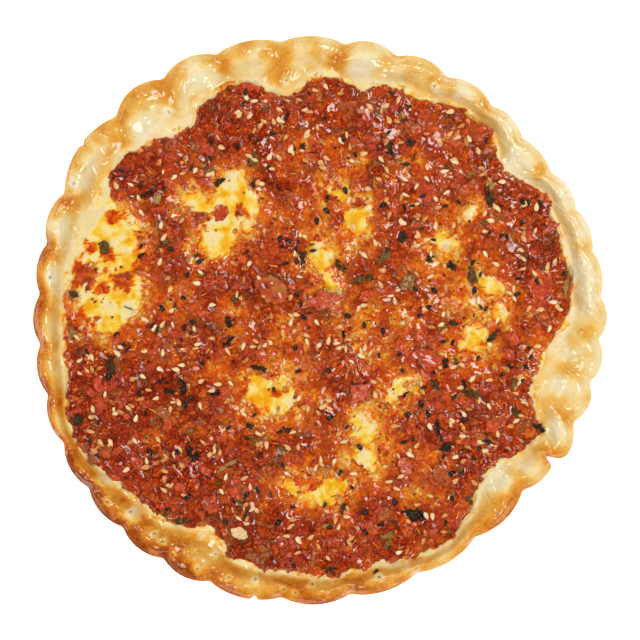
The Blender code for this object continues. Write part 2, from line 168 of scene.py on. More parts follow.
# Where the spread is thin and the cheese colours it orange: middle and reach.
THIN_SPOTS = in_metres(3, (
    (40, 18, 9), (55, 8, 14), (55, -9, 10), (16, -1, 9), (30, 1, 8), (-11, -6, 6), (16, -50, 17),
    (35, -52, 8), (30, -62, 7), (-6, 62.5, 5.5), (4, 62.5, 5.5), (13.5, 58, 5), (33, 56.5, 5),
    (-35, -18, 6), (-31, 3.5, 7), (21, -11, 7), (-60, -42, 5), (-15.5, 37, 6), (5, 30, 13),
    (-15, -26, 15), (28, -26, 8), (79, -12, 7), (-50, 7, 8),
))
# Where the spread is heaped deep and dark: middle and reach.
DEEP_SPOTS = in_metres(3, (
    (-80, -28, 17), (-66, -40, 14), (-42, -28, 9), (-35, 15.5, 9), (-18, -78, 13), (-45, -58, 14),
    (17, 67, 10), (-66, 54, 10), (-25, 54, 7), (-26, 80, 8), (76, 23, 8), (62, 47, 7), (24, -66, 7),
    (48, -40, 9),
))
# Bare cheese stands this much higher than under the spread, with clots in it, and it has
# crept up over the wall of the well.
BARE_RISE = 1.35 * MM
CLOT_HEIGHT = 0.3 * MM
BRIM_OVER = 0.08 * MM
BRIM_UNEVEN = 0.4 * MM
# The spread lies this much lower where it is thin, and where it stops at bare cheese, and its
# outer edge is rounded over this length.
THIN_DROP = 0.75 * MM
BARE_DROP = 1.6 * MM
SHOULDER = 1.6 * MM
# The relief's lumps, coarse and fine, and the chips that the colour shows.
CHOP_SIZE = 4.6 * MM
FINE_CHOP_SIZE = 1.9 * MM
CHUNK_SIZE = 4.4 * MM


def hump(degrees, middle, half_width):
    """1 at the middle angle, falling to nearly 0 two half widths away."""
    away = (degrees - middle + 180.0) % 360.0 - 180.0
    return np.exp(-((away / half_width) ** 2))


def smooth(share):
    """0 below 0, 1 above 1, and a soft step between them."""
    share = np.clip(share, 0.0, 1.0)
    return share * share * (3.0 - 2.0 * share)


def wander(x, y, length, layer):
    """Smooth noise over the plane, within -1 and 1, with lumps of that length."""
    return np.array([noise.noise((a, b, layer)) for a, b in zip(x / length, y / length)])


def crumble(x, y, length, layer):
    """Rough noise: lumps of that length with two finer sizes on them."""
    coarse = wander(x, y, length, layer)
    middle = wander(x, y, 0.45 * length, layer + 0.37)
    return coarse + 0.6 * middle + 0.4 * wander(x, y, 0.2 * length, layer + 0.71)


def chips(x, y, size, seed):
    """The plane split into uneven chips of about that size. For each point: how far it is from
    its chip's edge, as a share of the size, where it lies from the chip's middle, and four
    random numbers that the chip has for itself."""
    table = np.random.default_rng(seed).random((CHIP_TABLE, CHIP_TABLE, 6))
    column = np.floor(x / size).astype(int)
    row = np.floor(y / size).astype(int)
    nearest = np.full(len(x), 9.0)
    second = np.full(len(x), 9.0)
    away = np.zeros((len(x), 2))
    own = np.zeros((len(x), 4))
    for step_x in (-1, 0, 1):
        for step_y in (-1, 0, 1):
            drawn = table[(column + step_x) % CHIP_TABLE, (row + step_y) % CHIP_TABLE]
            from_x = x / size - (column + step_x + drawn[:, 0])
            from_y = y / size - (row + step_y + drawn[:, 1])
            distance = np.hypot(from_x, from_y)
            closer = distance < nearest
            second = np.where(closer, nearest, np.minimum(second, distance))
            nearest = np.where(closer, distance, nearest)
            away = np.where(closer[:, None], np.stack([from_x, from_y], -1) * size, away)
            own = np.where(closer[:, None], drawn[:, 2:], own)
    return second - nearest, away, own


# ---------------------------------------------------------------- edges, worked out once round

ROUND = np.linspace(-math.pi, math.pi, 2881)


def crimp_tables():
    """For each angle: how far the finger pinches swell there, below 0 in the valleys; how near
    the middle of a pinch it is, from 0 to 1; and a random number the pinch has for itself."""
    first = CRIMP_RUNS[0][0]
    degrees = (np.degrees(ROUND) - first) % 360.0 + first
    starts = [run[0] for run in CRIMP_RUNS] + [first + 360.0]
    swells = np.zeros_like(ROUND)
    middles = np.zeros_like(ROUND)
    chances = np.zeros_like(ROUND)
    for number, (start, count, swell) in enumerate(CRIMP_RUNS):
        end = starts[number + 1]
        here = (degrees >= start) & (degrees < end)
        place = (degrees[here] - start) / (end - start) * count
        uneven = np.array([noise.noise((math.floor(p), number, 0.5)) for p in place])
        swings = np.abs(np.sin(math.pi * place))
        swells[here] = swell * (1.0 + CRIMP_UNEVEN * uneven) * (swings ** CRIMP_CUSP - 0.5)
        swells[here] -= CUSP_DEPTH * (1.0 - swings) ** 4
        middles[here] = swings ** 2
        chances[here] = [noise.noise((math.floor(p) * 3.7, number, 2.5)) for p in place]
    window = np.hanning(2 * PINCH_BLEND + 3)[1:-1]
    tables = []
    for table in (swells, middles, chances):
        wrapped = np.concatenate([table[-PINCH_BLEND - 1:-1], table, table[1:PINCH_BLEND + 1]])
        tables.append(np.convolve(wrapped, window / window.sum(), mode="valid"))
    return tables


PINCH, PINCH_MIDDLE, PINCH_CHANCE = crimp_tables()


def bread_edge_table():
    """The radius of the bread's outer edge at each angle."""
    radius = BREAD_RADIUS - EDGE_TRIM + PINCH
    for waves, height, crest in OUT_OF_ROUND:
        radius = radius + height * np.cos(waves * (ROUND - math.radians(crest)))
    for middle, half_width, out in EDGE_DENTS + EDGE_TEARS:
        radius = radius + out * hump(np.degrees(ROUND), middle, half_width)
    return radius


def filling_edge_table():
    """The radius of the filling's ragged edge at each angle."""
    radius = np.full_like(ROUND, FILLING_RADIUS)
    for middle, half_width, out in FILLING_BAYS:
        radius = radius + out * hump(np.degrees(ROUND), middle, half_width)
    half = RAGGED_WAVES / 2.0
    ragged = [noise.noise((math.cos(a) * half, math.sin(a) * half, 0.0)) for a in ROUND]
    return radius + RAGGED * np.array(ragged)


BREAD_EDGE = bread_edge_table()
FILLING_EDGE = filling_edge_table()
SPREAD_EDGE = FILLING_EDGE - CHEESE_MARGIN + BARE_BAY[2] * hump(np.degrees(ROUND), *BARE_BAY[:2])


def at(table, angle):
    """A table's value at any angles."""
    turned = (angle + math.pi) % (2.0 * math.pi) - math.pi
    return np.interp(turned, ROUND, table)


# ---------------------------------------------------------------- meshes

def mesh_object(name, points, faces, material, attributes):
    """A smooth mesh from arrays of points and of equal faces, with a value at each point."""
    corners = faces.shape[1]
    mesh = bpy.data.meshes.new(name)
    mesh.vertices.add(len(points))
    mesh.vertices.foreach_set("co", points.astype(np.float32).ravel())
    mesh.loops.add(faces.size)
    mesh.loops.foreach_set("vertex_index", faces.astype(np.int32).ravel())
    mesh.polygons.add(len(faces))
    mesh.polygons.foreach_set("loop_start", np.arange(0, faces.size, corners, dtype=np.int32))
    mesh.update(calc_edges=True)
    mesh.validate()
    mesh.shade_smooth()
    for key, values in attributes.items():
        layer = mesh.attributes.new(key, "FLOAT", "POINT")
        layer.data.foreach_set("value", np.asarray(values, np.float32))
    mesh.materials.append(material)
    thing = bpy.data.objects.new(name, mesh)
    bpy.context.scene.collection.objects.link(thing)
    return thing


def halved(quads):
    """Each quad as two triangles."""
    return np.concatenate([quads[:, [0, 1, 2]], quads[:, [0, 2, 3]]])


def ring_faces(rings, steps):
    """Triangles between neighbouring rings of points, each ring closed on itself, and from the
    first and the last ring to a middle point each. Those two points come after the rings."""
    ring = np.arange(rings - 1)[:, None] * steps
    here = np.arange(steps)
    after = (here + 1) % steps
    quads = np.stack([ring + here, ring + after, ring + steps + after, ring + steps + here], -1)
    last = (rings - 1) * steps
    middle = np.full(steps, rings * steps)
    first_fan = np.stack([after, here, middle], -1)
    last_fan = np.stack([last + here, last + after, middle + 1], -1)
    return np.concatenate([halved(quads.reshape(-1, 4)), first_fan, last_fan])


def disc_grid(steps):
    """A square grid bent into a disc: each point's share of the radius, its angle, the quads."""
    side = np.linspace(-1.0, 1.0, steps)
    a, b = [axis.ravel() for axis in np.meshgrid(side, side)]
    wide = np.abs(a) > np.abs(b)
    tall = ~wide & (b != 0.0)
    reach = np.where(wide, a, b)
    angle = np.zeros_like(a)
    angle[wide] = math.pi / 4.0 * b[wide] / a[wide]
    angle[tall] = math.pi / 2.0 - math.pi / 4.0 * a[tall] / b[tall]
    angle = np.where(reach < 0.0, angle + math.pi, angle)
    row = np.arange(steps - 1)[:, None] * steps
    column = np.arange(steps - 1)[None, :]
    first = row + column
    quads = np.stack([first, first + 1, first + steps + 1, first + steps], -1).reshape(-1, 4)
    return np.abs(reach), angle, quads


def disc_border(steps):
    """The grid points along the disc's edge, in order."""
    bottom = np.arange(steps - 1)
    right = steps - 1 + steps * np.arange(steps - 1)
    top = steps * steps - 1 - np.arange(steps - 1)
    left = steps * (steps - 1) - steps * np.arange(steps - 1)
    return np.concatenate([bottom, right, top, left])


def close_below(points, quads, border, floor_height):
    """Adds a wall down from the border and a flat base, so that a sheet becomes a solid."""
    count = len(points)
    low = points[border].copy()
    low[:, 2] = floor_height
    middle = np.array([[0.0, 0.0, floor_height]])
    here = np.arange(len(border))
    after = (here + 1) % len(border)
    wall = np.stack([border[after], border[here], count + here, count + after], -1)
    centre = count + len(border)
    third = np.stack([count + after, count + here, np.full_like(here, centre)], -1)
    triangles = np.concatenate([halved(quads), halved(wall), third])
    return np.concatenate([points, low, middle]), triangles


def padded_values(values, total):
    """Extends the values of a sheet's points over the points that close_below added."""
    return np.concatenate([values, np.full(total - len(values), values.mean())])


# ---------------------------------------------------------------- materials

# A mix of two colours: the numbers of its inputs and of its output.
COLOUR_MIX = {"data_type": "RGBA", "slots": (0, 6, 7), "out": 2}
COLOUR_PRODUCT = {"blend_type": "MULTIPLY", **COLOUR_MIX}


def linear(colour):
    """An sRGB hex colour as linear light, with an alpha of 1."""
    parts = [int(colour[place:place + 2], 16) / 255.0 for place in (1, 3, 5)]
    light = [p / 12.92 if p <= 0.04045 else ((p + 0.055) / 1.055) ** 2.4 for p in parts]
    return (*light, 1.0)


def add(tree, kind, *ordered, slots=range(9), out=0, stops=(), **named):
    """Adds a node. Inputs, as values or links, come in the node's order or by a name with a
    capital, settings by a name without one, and the stops of a ramp as places and colours."""
    node = tree.nodes.new("ShaderNode" + kind)
    inputs = dict(zip(slots, ordered))
    for key, value in named.items():
        if key[0].islower():
            setattr(node, key, value)
        else:
            inputs[key.replace("_", " ")] = value
    for key, value in inputs.items():
        if isinstance(value, bpy.types.NodeSocket):
            tree.links.new(value, node.inputs[key])
        else:
            node.inputs[key].default_value = value
    for number, (place, colour) in enumerate(stops):
        if number > 1:
            node.color_ramp.elements.new(1.0)
        node.color_ramp.elements[number].position = place
        node.color_ramp.elements[number].color = linear(colour)
    return node.outputs[out]


def new_material(name, **values):
    """A material whose shader has the values that are the same all over it, and the function
    that adds a node to it."""
    made = bpy.data.materials.new(name)
    made.use_nodes = True
    shader = made.node_tree.nodes["Principled BSDF"]
    for key, value in values.items():
        shader.inputs[key.replace("_", " ")].default_value = value
    return made, partial(add, made.node_tree)


def linked(made, **links):
    """The material, with these outputs linked into its shader."""
    shader = made.node_tree.nodes["Principled BSDF"]
    for key, value in links.items():
        made.node_tree.links.new(value, shader.inputs[key.replace("_", " ")])
    return made


def baked_wheat_dough():
    """Soft wheat dough, pinched by hand and baked: cream where it stayed low, golden to dark
    brown where it stood up to the heat, speckled, with patches of shining fat over the skin."""
    made, node = new_material(
        "baked_wheat_dough", IOR=1.45, Specular_IOR_Level=0.02, Subsurface_Weight=0.06,
        Subsurface_Scale=1.2 * MM, Subsurface_Radius=(1.0, 0.7, 0.35),
        Coat_Roughness=0.13, Coat_IOR=1.47,
    )
    place = node("TexCoord", out="Object")
    browning, grease, pit_and_shade, oiled = [
        node("Attribute", out="Fac", attribute_name=name)
        for name in ("browning", "grease", "pit_and_shade", "oiled")
    ]
    freckles = node("TexNoise", Vector=place, Scale=1.0 / (0.9 * MM), Detail=5.0, Roughness=0.75)
    patches = node("TexNoise", Vector=place, Scale=1.0 / (6.0 * MM), Detail=3.0, Roughness=0.6)
    films = node("TexNoise", Vector=place, Scale=1.0 / (7.0 * MM), Detail=2.0, Roughness=0.45,
                 Distortion=0.6)
    skin = node("TexNoise", Vector=place, Scale=1.0 / (0.7 * MM), Detail=2.0)
    blisters = node("TexNoise", Vector=place, Scale=1.0 / (2.6 * MM), Detail=1.0, Distortion=0.4)

    mottle = node("Math", freckles, patches, operation="ADD")
    mottle = node("Math", mottle, -1.0, operation="ADD")
    strength = node("Math", browning, 1.1, 0.08, operation="MULTIPLY_ADD")
    browned = node("Math", mottle, strength, browning, operation="MULTIPLY_ADD")
    crust = node("ValToRGB", browned, stops=(
        (0.0, "#E4D6B2"), (0.12, "#E2CA92"), (0.26, "#DEB464"), (0.4, "#D89E42"),
        (0.54, "#D08A30"), (0.68, "#C06E20"), (0.83, "#A85214"), (1.0, "#863808")))
    stained = node("Mix", grease, crust, linear("#F8CE68"), **COLOUR_PRODUCT)
    # Painted shade: the pricked holes are coloured dark.
    colour = node("Mix", pit_and_shade, stained, linear("#4A2C10"), **COLOUR_MIX)

    relief = node("Bump", Height=skin, Distance=0.03 * MM)
    relief = node("Bump", Height=blisters, Distance=0.16 * MM, Normal=relief)
    relief = node("Bump", Height=films, Distance=0.9 * MM, Normal=relief)
    rough = node("Math", patches, 0.5, 0.25, operation="MULTIPLY_ADD")
    film = node("MapRange", films, 0.46, 0.48, 0.05, 1.0)
    film = node("Math", film, oiled, operation="MULTIPLY")
    return linked(made, Base_Color=colour, Normal=relief, Roughness=rough, Coat_Weight=film)


def molten_cheese():
    """Cheese melted under the spread: soft pale clots in yellow fat, slightly clear, orange
    where the pepper's oil has run into it and along the seams between the clots."""
    made, node = new_material(
        "molten_cheese", IOR=1.46, Roughness=0.35, Specular_IOR_Level=0.12, Subsurface_Weight=0.15,
        Subsurface_Scale=1.5 * MM, Subsurface_Radius=(1.0, 0.7, 0.2), Coat_Weight=0.35,
        Coat_Roughness=0.1, Coat_IOR=1.47,
    )
    place = node("TexCoord", out="Object")
    stain = node("Attribute", out="Fac", attribute_name="stain")
    pale = node("Attribute", out="Fac", attribute_name="pale")
    drift = node("TexNoise", Vector=place, Scale=1.0 / (3.0 * MM), Detail=3.0, out="Color")
    drift = node("VectorMath", drift, (5.0 * MM,) * 3, place, operation="MULTIPLY_ADD")
    seams = node("TexVoronoi", Vector=drift, Scale=1.0 / (6.5 * MM), feature="DISTANCE_TO_EDGE")
    curds = node("TexNoise", Vector=place, Scale=1.0 / (2.2 * MM), Detail=4.0, Roughness=0.6)
    streaks = node("TexNoise", Vector=drift, Scale=1.0 / (1.8 * MM), Detail=4.0, Roughness=0.75,
                   Distortion=1.2)

    paleness = node("Math", curds, -0.5, operation="ADD")
    paleness = node("Math", paleness, 0.9, pale, operation="MULTIPLY_ADD")
    yellow = node("ValToRGB", paleness, stops=(
        (0.1, "#DC9A10"), (0.34, "#E2B430"), (0.52, "#E3C666"), (0.7, "#E0CE94"),
        (0.9, "#DAC48E")))
    streaks = node("Math", streaks, -0.5, operation="ADD")
    oil = node("Math", streaks, 1.3, stain, operation="MULTIPLY_ADD")
    seamed = node("MapRange", seams, 0.0, 0.1, 0.55, 0.0)
    seamed = node("Math", seamed, stain, operation="MULTIPLY")
    oil = node("Math", seamed, oil, operation="ADD")
    orange = node("ValToRGB", oil, stops=(
        (0.24, "#FFFFFF"), (0.44, "#FDDC90"), (0.6, "#F8AC4C"), (0.78, "#E87426"),
        (1.0, "#C84C12")))
    colour = node("Mix", 1.0, yellow, orange, **COLOUR_PRODUCT)
    relief = node("Bump", Height=curds, Distance=0.4 * MM)
    return linked(made, Base_Color=colour, Normal=relief)


def red_pepper_paste():
    """Red pepper, tomato and chilli pounded to a coarse wet paste and baked: brick red where it
    lies deep and orange where it is thin over the cheese, a mosaic of soft flat chips with fibres
    in them and dark lines between them and in their wrinkles, partly painted shade, with painted
    shade in the crevices between the lumps, shining where the oil has pooled."""
    made, node = new_material(
        "red_pepper_paste", IOR=1.45, Specular_IOR_Level=0.1,
        Subsurface_Weight=0.06, Subsurface_Scale=0.8 * MM, Subsurface_Radius=(1.0, 0.35, 0.1),
        Coat_Roughness=0.04, Coat_IOR=1.47,
    )
    place = node("TexCoord", out="Object")
    depth, tint, kind, crevice_shade = [
        node("Attribute", out="Fac", attribute_name=name)
        for name in ("depth", "tint", "kind", "crevice_shade")
    ]
    drift = node("TexNoise", Vector=place, Scale=1.0 / (2.0 * MM), Detail=3.0, out="Color")
    drift = node("VectorMath", drift, (3.2 * MM,) * 3, place, operation="MULTIPLY_ADD")
    chunks = node("TexVoronoi", Vector=drift, Scale=1.0 / CHUNK_SIZE, out="Color")
    chunks = node("SeparateColor", chunks)
    chunk_edges = node("TexVoronoi", Vector=drift, Scale=1.0 / CHUNK_SIZE,
                       feature="DISTANCE_TO_EDGE")
    bits = node("TexVoronoi", Vector=drift, Scale=1.0 / (1.9 * MM), out="Color")
    clouds = node("TexNoise", Vector=drift, Scale=1.0 / (5.0 * MM), Detail=3.0, Roughness=0.55,
                  Distortion=1.0)
    strands = node("TexNoise", Vector=drift, Scale=1.0 / (0.85 * MM), Detail=3.0, Roughness=0.75,
                   Distortion=1.5)
    fibres = node("TexNoise", Vector=drift, Scale=1.0 / (2.2 * MM), Detail=3.0, Roughness=0.65,
                  Distortion=1.2)
    wet = node("TexNoise", Vector=drift, Scale=1.0 / (1.7 * MM), Detail=3.5, Roughness=0.6,
               Distortion=0.8)
    pools = node("TexNoise", Vector=place, Scale=1.0 / (11.0 * MM), Detail=2.0)

    # The ground paste: yellow to dark red with its depth, uneven at three sizes.
    level = node("Math", depth, 0.56, -0.13, operation="MULTIPLY_ADD")
    level = node("Math", tint, 0.35, level, operation="MULTIPLY_ADD")
    level = node("Math", bits, 0.3, level, operation="MULTIPLY_ADD")
    for layer, by_depth, least in ((strands, 1.7, 0.9), (clouds, -1.2, 1.7)):
        uneven = node("Math", layer, 0.5, operation="SUBTRACT")
        swing = node("Math", depth, by_depth, least, operation="MULTIPLY_ADD")
        level = node("Math", uneven, swing, level, operation="MULTIPLY_ADD")
    paste = node("ValToRGB", level, stops=(
        (0.0, "#F4C85A"), (0.14, "#F3AA30"), (0.28, "#EE8618"), (0.43, "#E6640E"),
        (0.6, "#D44608"), (0.8, "#B62E02"), (1.0, "#6C1000")))

    # The chopped flesh in it, each chip of one kind, with pale veins. A whole shard is one chip.
    whole = node("MapRange", kind, 0.1, 0.2)
    flesh_kind = node("Mix", whole, chunks, kind, slots=(0, 2, 3))
    flesh = node("ValToRGB", flesh_kind, stops=(
        (0.42, "#D85A3A"), (0.58, "#CC4C2A"), (0.63, "#A2340C"), (0.76, "#C4461E"),
        (0.79, "#D86824"), (0.88, "#C45422"), (0.92, "#BC7440"), (0.97, "#855226")))
    veins = node("MapRange", strands, 0.34, 0.66, 1.45, 0.5)
    flesh = node("Mix", 1.0, flesh, veins, clamp_result=True, **COLOUR_PRODUCT)
    chopped = node("MapRange", flesh_kind, 0.36, 0.38, 0.0, 0.72)
    chopped = node("Math", chopped, depth, operation="MULTIPLY")
    patchy = node("Mix", chopped, paste, flesh, **COLOUR_MIX)

    # The dark lines between chips and along the wrinkles, partly painted shade, and painted shade
    # in the crevices between the lumps, deepest in the deep paste.
    joined = node("Math", whole, -1.0, 1.0, operation="MULTIPLY_ADD")
    line_and_crevice_shade = node("MapRange", chunk_edges, 0.0, 0.09, 1.0, 0.0)
    line_and_crevice_shade = node("Math", line_and_crevice_shade, joined, operation="MULTIPLY")
    wrinkled = node("Math", fibres, 0.1, operation="PINGPONG")
    lined = node("MapRange", wrinkled, 0.0, 0.016, 0.9, 0.0)
    line_and_crevice_shade = node("Math", line_and_crevice_shade, lined, operation="MAXIMUM")
    # Painted shade: the crevices between the spread's lumps darken the colour.
    sunk = node("Math", crevice_shade, 0.8, operation="MULTIPLY")
    line_and_crevice_shade = node("Math", line_and_crevice_shade, sunk, operation="MAXIMUM")
    deepening = node("Math", depth, 0.6, 0.4, operation="MULTIPLY_ADD")
    line_and_crevice_shade = node("Math", line_and_crevice_shade, deepening, operation="MULTIPLY")
    # The colour of the painted shade and the dark lines, orange where the paste is thin.
    between = node("Mix", depth, linear("#DC6410"), linear("#601400"), **COLOUR_MIX)
    colour = node("Mix", line_and_crevice_shade, patchy, between, **COLOUR_MIX)

    rough = node("MapRange", pools, 0.42, 0.62, 0.45, 0.15)
    oiled = node("MapRange", pools, 0.44, 0.56, 0.25, 1.0)
    pleats = node("MapRange", wrinkled, 0.0, 0.06)
    relief = node("Bump", Height=pleats, Distance=0.16 * MM)
    parted = node("Math", chunk_edges, joined, operation="MULTIPLY")
    relief = node("Bump", Height=parted, Distance=0.7 * MM, Normal=relief)
    relief = node("Bump", Height=wet, Distance=0.62 * MM, Normal=relief)
    return linked(made, Base_Color=colour, Roughness=rough, Coat_Weight=oiled, Normal=relief)


def roasted_red_skin():
    """Tomato and red pepper roasted until their skin wrinkled: clear red over paler flesh, in
    fine folds that catch the light, with painted shade along the lines of the folds."""
    made, node = new_material(
        "roasted_red_skin", IOR=1.45, Specular_IOR_Level=0.2, Roughness=0.3,
        Subsurface_Weight=0.12, Subsurface_Scale=1.0 * MM, Subsurface_Radius=(1.0, 0.4, 0.2),
        Coat_Weight=0.8, Coat_Roughness=0.06, Coat_IOR=1.47,
    )
    place = node("TexCoord", out="Object")
    flesh = node("TexNoise", Vector=place, Scale=1.0 / (2.4 * MM), Detail=5.0, Roughness=0.7,
                 Distortion=0.8)
    folds = node("TexNoise", Vector=place, Scale=1.0 / (1.6 * MM), Detail=2.0, Distortion=2.4)
    folds = node("Math", folds, 0.5, operation="SUBTRACT")
    folds = node("Math", folds, operation="ABSOLUTE")
    pleats = node("MapRange", folds, 0.0, 0.08)
    red = node("ValToRGB", flesh, stops=(
        (0.34, "#B0381A"), (0.45, "#D45436"), (0.55, "#E06E4C"), (0.68, "#E89C72")))
    # Painted shade: the colour is darker along the lines of the folds.
    shade = node("MapRange", folds, 0.0, 0.03, 0.6, 1.0)
    colour = node("Mix", 1.0, red, shade, **COLOUR_PRODUCT)
    relief = node("Bump", Height=pleats, Distance=0.25 * MM)
    return linked(made, Base_Color=colour, Normal=relief)


def softened_onion():
    """Onion cooked soft in the red oil: thin layers lying side by side, stained red-brown, with
    a tan to green edge here and there."""
    made, node = new_material(
        "softened_onion", IOR=1.45, Specular_IOR_Level=0.2, Roughness=0.35,
        Subsurface_Weight=0.15, Subsurface_Scale=1.2 * MM, Subsurface_Radius=(1.0, 0.6, 0.3),
        Coat_Weight=0.6, Coat_Roughness=0.08, Coat_IOR=1.47,
    )
    place = node("TexCoord", out="Object")
    layers = node("TexWave", Vector=place, Scale=0.05 / MM, Distortion=3.0, Detail=3.0,
                  Detail_Scale=1.0, out="Fac", bands_direction="DIAGONAL")
    flecks = node("TexNoise", Vector=place, Scale=1.0 / (0.8 * MM), Detail=4.0, Roughness=0.75)
    stain = node("TexNoise", Vector=place, Scale=1.0 / (5.0 * MM), Detail=2.0)
    shade = node("Math", layers, 0.25, stain, operation="MULTIPLY_ADD")
    shade = node("Math", flecks, 1.0, shade, operation="MULTIPLY_ADD")
    shade = node("Math", shade, 0.2, operation="SUBTRACT")
    colour = node("ValToRGB", shade, stops=(
        (0.62, "#681E06"), (0.8, "#A63C16"), (0.97, "#BC5226"), (1.0, "#94702E")))
    relief = node("Bump", Height=layers, Distance=0.25 * MM)
    return linked(made, Base_Color=colour, Normal=relief)


def food_bits(name, stops, fleck_size, relief, roughness, coat, fleck_share=0.5):
    """Small wet bits: each has a tint of its own from the ramp, with fine fibres in it."""
    made, node = new_material(
        name, IOR=1.45, Specular_IOR_Level=0.15, Roughness=roughness, Subsurface_Weight=0.1,
        Subsurface_Scale=0.8 * MM, Subsurface_Radius=(1.0, 0.5, 0.2), Coat_Weight=coat,
        Coat_Roughness=0.05, Coat_IOR=1.47,
    )
    place = node("TexCoord", out="Object")
    flecks = node("TexNoise", Vector=place, Scale=1.0 / fleck_size, Detail=5.0, Roughness=0.75,
                  Distortion=0.6)
    tint = node("Attribute", out="Fac", attribute_name="tint")
    uneven = node("Math", flecks, -0.5, operation="ADD")
    tint = node("Math", uneven, 2.0 * fleck_share, tint, operation="MULTIPLY_ADD")
    colour = node("ValToRGB", tint, stops=stops)
    bumped = node("Bump", Height=flecks, Distance=relief)
    return linked(made, Base_Color=colour, Normal=bumped)


# ---------------------------------------------------------------- the bread

# How browned the rim is, part by part: an angle, a half width in degrees, how browned. The
# ridges and patches, then the outer lip, then the whole width, then the outermost edge, which
# is darker partly from browning and partly from painted shade where it turns down.
BASE_BROWNING = 0.22
BROWNED_PARTS = (
    (60, 22, 0.12), (98, 26, 0.42), (140, 22, 0.31), (168, 16, 0.3), (195, 20, 0.42),
    (222, 20, 0.32), (250, 24, 0.24), (285, 16, 0.24), (314, 12, 0.26), (345, 18, 0.22),
)
LIP_PARTS = (
    (130, 16, 0.1), (176, 22, 0.56), (205, 22, 0.52), (240, 24, 0.36), (280, 14, 0.26),
    (312, 9, 0.3),
)
BROAD_PARTS = ((150, 24, 0.05), (205, 26, 0.3), (238, 22, 0.56), (270, 18, 0.48), (308, 12, 0.16))
EDGE_BROWNING_AND_SHADE = ((190, 26, 0.14), (222, 24, 0.18), (262, 30, 0.12), (306, 14, 0.12))
# Single places of the rim, given by the angle and how far out they are, as a share. Browned
# places: the reach in millimetres, and how browned.
BROWN_SPOTS = (
    (111.1, 0.75, 5, 0.36), (99.6, 0.7, 7, 0.52), (90.5, 0.62, 5.5, 0.36), (120.4, 0.78, 6, 0.38),
    (130.5, 0.72, 6.5, 0.4), (140.4, 0.74, 5.5, 0.4), (147.3, 0.85, 4, 0.36), (76, 0.4, 5, 0.25),
    (315, 0.62, 8, 0.55), (341, 0.6, 6, 0.3), (352.5, 0.7, 5, 0.24), (274.5, 0.7, 9, 0.76),
    (217, 0.75, 8, 0.62), (196.5, 0.85, 6, 0.46), (249, 0.75, 9, 0.6), (291, 0.7, 7, 0.42),
    (24, 0.6, 5, 0.22), (48, 0.35, 5, 0.2), (355.3, 0.45, 4.5, 0.34), (34.5, 0.6, 5, 0.38),
    (62, 0.6, 6, 0.3),
)
# The fat that has run out over the dough: about as far as the fringe all round, and further by
# shares of the reach, each with its angle and half width in degrees. At one angle it has run
# over the whole rim.
GREASE_FRINGE = 4.0 * MM
GREASE_REACH = 4.5 * MM
GREASE_RUNS = ((337, 9, 1.0), (50, 12, 0.6), (84, 10, 0.8), (12, 8, 0.2), (148, 8, 0.6), (222, 8, 0.5))
GREASE_ACROSS = (330, 3.2)
# Pale pillows of dough that stayed low: the reach in millimetres.
PALE_SPOTS = (
    (150.5, 0.6, 6), (114.9, 0.35, 6.5), (160.5, 0.6, 4.5), (46.5, 0.4, 6), (26.5, 0.5, 6),
    (6.4, 0.4, 7), (216, 0.15, 4), (226, 0.4, 5), (133, 0.3, 7), (81, 0.5, 6), (334, 0.35, 6),
    (318, 0.25, 7),
)
PILLOW_HEIGHT = 0.8 * MM
# The finger hollows, and the ridges between them: the middle and the half width as shares of
# the rim's width, and how deep or high they are.
HOLLOW = (0.42, 0.24, 1.0 * MM)
RIDGE = (0.62, 0.3, 0.35 * MM)
# How high the lumps of the whole top are and how deep its folds, and how far it settled.
SOFT_LUMPS = 0.45 * MM
SMALL_LUMPS = 0.28 * MM
FOLD_DEPTH = 0.35 * MM
SETTLED = 0.25 * MM
# Blisters of pale dough round a pricked hole, with painted shade in the hole.
PRICKS = (
    (220.5, 0.62), (225.3, 0.38), (227, 0.8), (232.2, 0.42), (234.6, 0.52), (237.8, 0.75),
    (241, 0.2), (243.8, 0.72), (246, 0.3), (250.4, 0.55), (256, 0.35), (262.3, 0.6), (264.8, 0.62),
    (268.4, 0.3), (283, 0.45), (64, 0.45), (98, 0.3), (126, 0.42), (151, 0.7), (171, 0.5),
)
PRICK_RADIUS = 0.5 * MM
PRICK_DEPTH = 0.6 * MM
BLISTER_RADIUS = 3.4 * PRICK_RADIUS
BLISTER_HEIGHT = 0.25 * MM
# Where the skin has risen as a round bubble: the reach and the height in millimetres.
BUBBLES = (
    (241.5, 0.5, 4.6, 1.2), (252.5, 0.45, 4, 0.8), (231, 0.3, 3.6, 0.7), (262, 0.35, 3.2, 0.6),
    (152, 0.55, 4.4, 0.6),
)


def rim_surface(angle, share):
    """The bread's top from the well's wall, at share 0, to the outer edge, at share 1."""
    width = at(BREAD_EDGE, angle) - at(FILLING_EDGE, angle)
    crest_share = 1.0 - np.minimum(CREST_IN / width, 0.5)
    swell = at(PINCH, angle - CRIMP_TWIST * (1.0 - share))
    rise = np.array([noise.noise((math.cos(a) * 2.0, math.sin(a) * 2.0, 6.0)) for a in angle])
    crest = RIM_HEIGHT + swell + RIM_UNEVEN * rise
    crest = crest + BUBBLE[2] * hump(np.degrees(angle), BUBBLE[0], BUBBLE[1])
    inner = WALL_HEIGHT + (crest - WALL_HEIGHT) * smooth(share / crest_share)
    fall = np.clip((share - crest_share) / (1.0 - crest_share), 0.0, 1.0)
    outer = WIDEST_HEIGHT + (crest - WIDEST_HEIGHT) * np.sqrt(1.0 - fall * fall)
    return np.where(share < crest_share, inner, outer)


def rim_share(x, y):
    """How far across the rim a point is, from 0 at the well's wall to 1 at the outer edge."""
    angle = np.arctan2(y, x)
    wall = at(FILLING_EDGE, angle) + GAP
    return (np.hypot(x, y) - wall) / (at(BREAD_EDGE, angle) - wall)


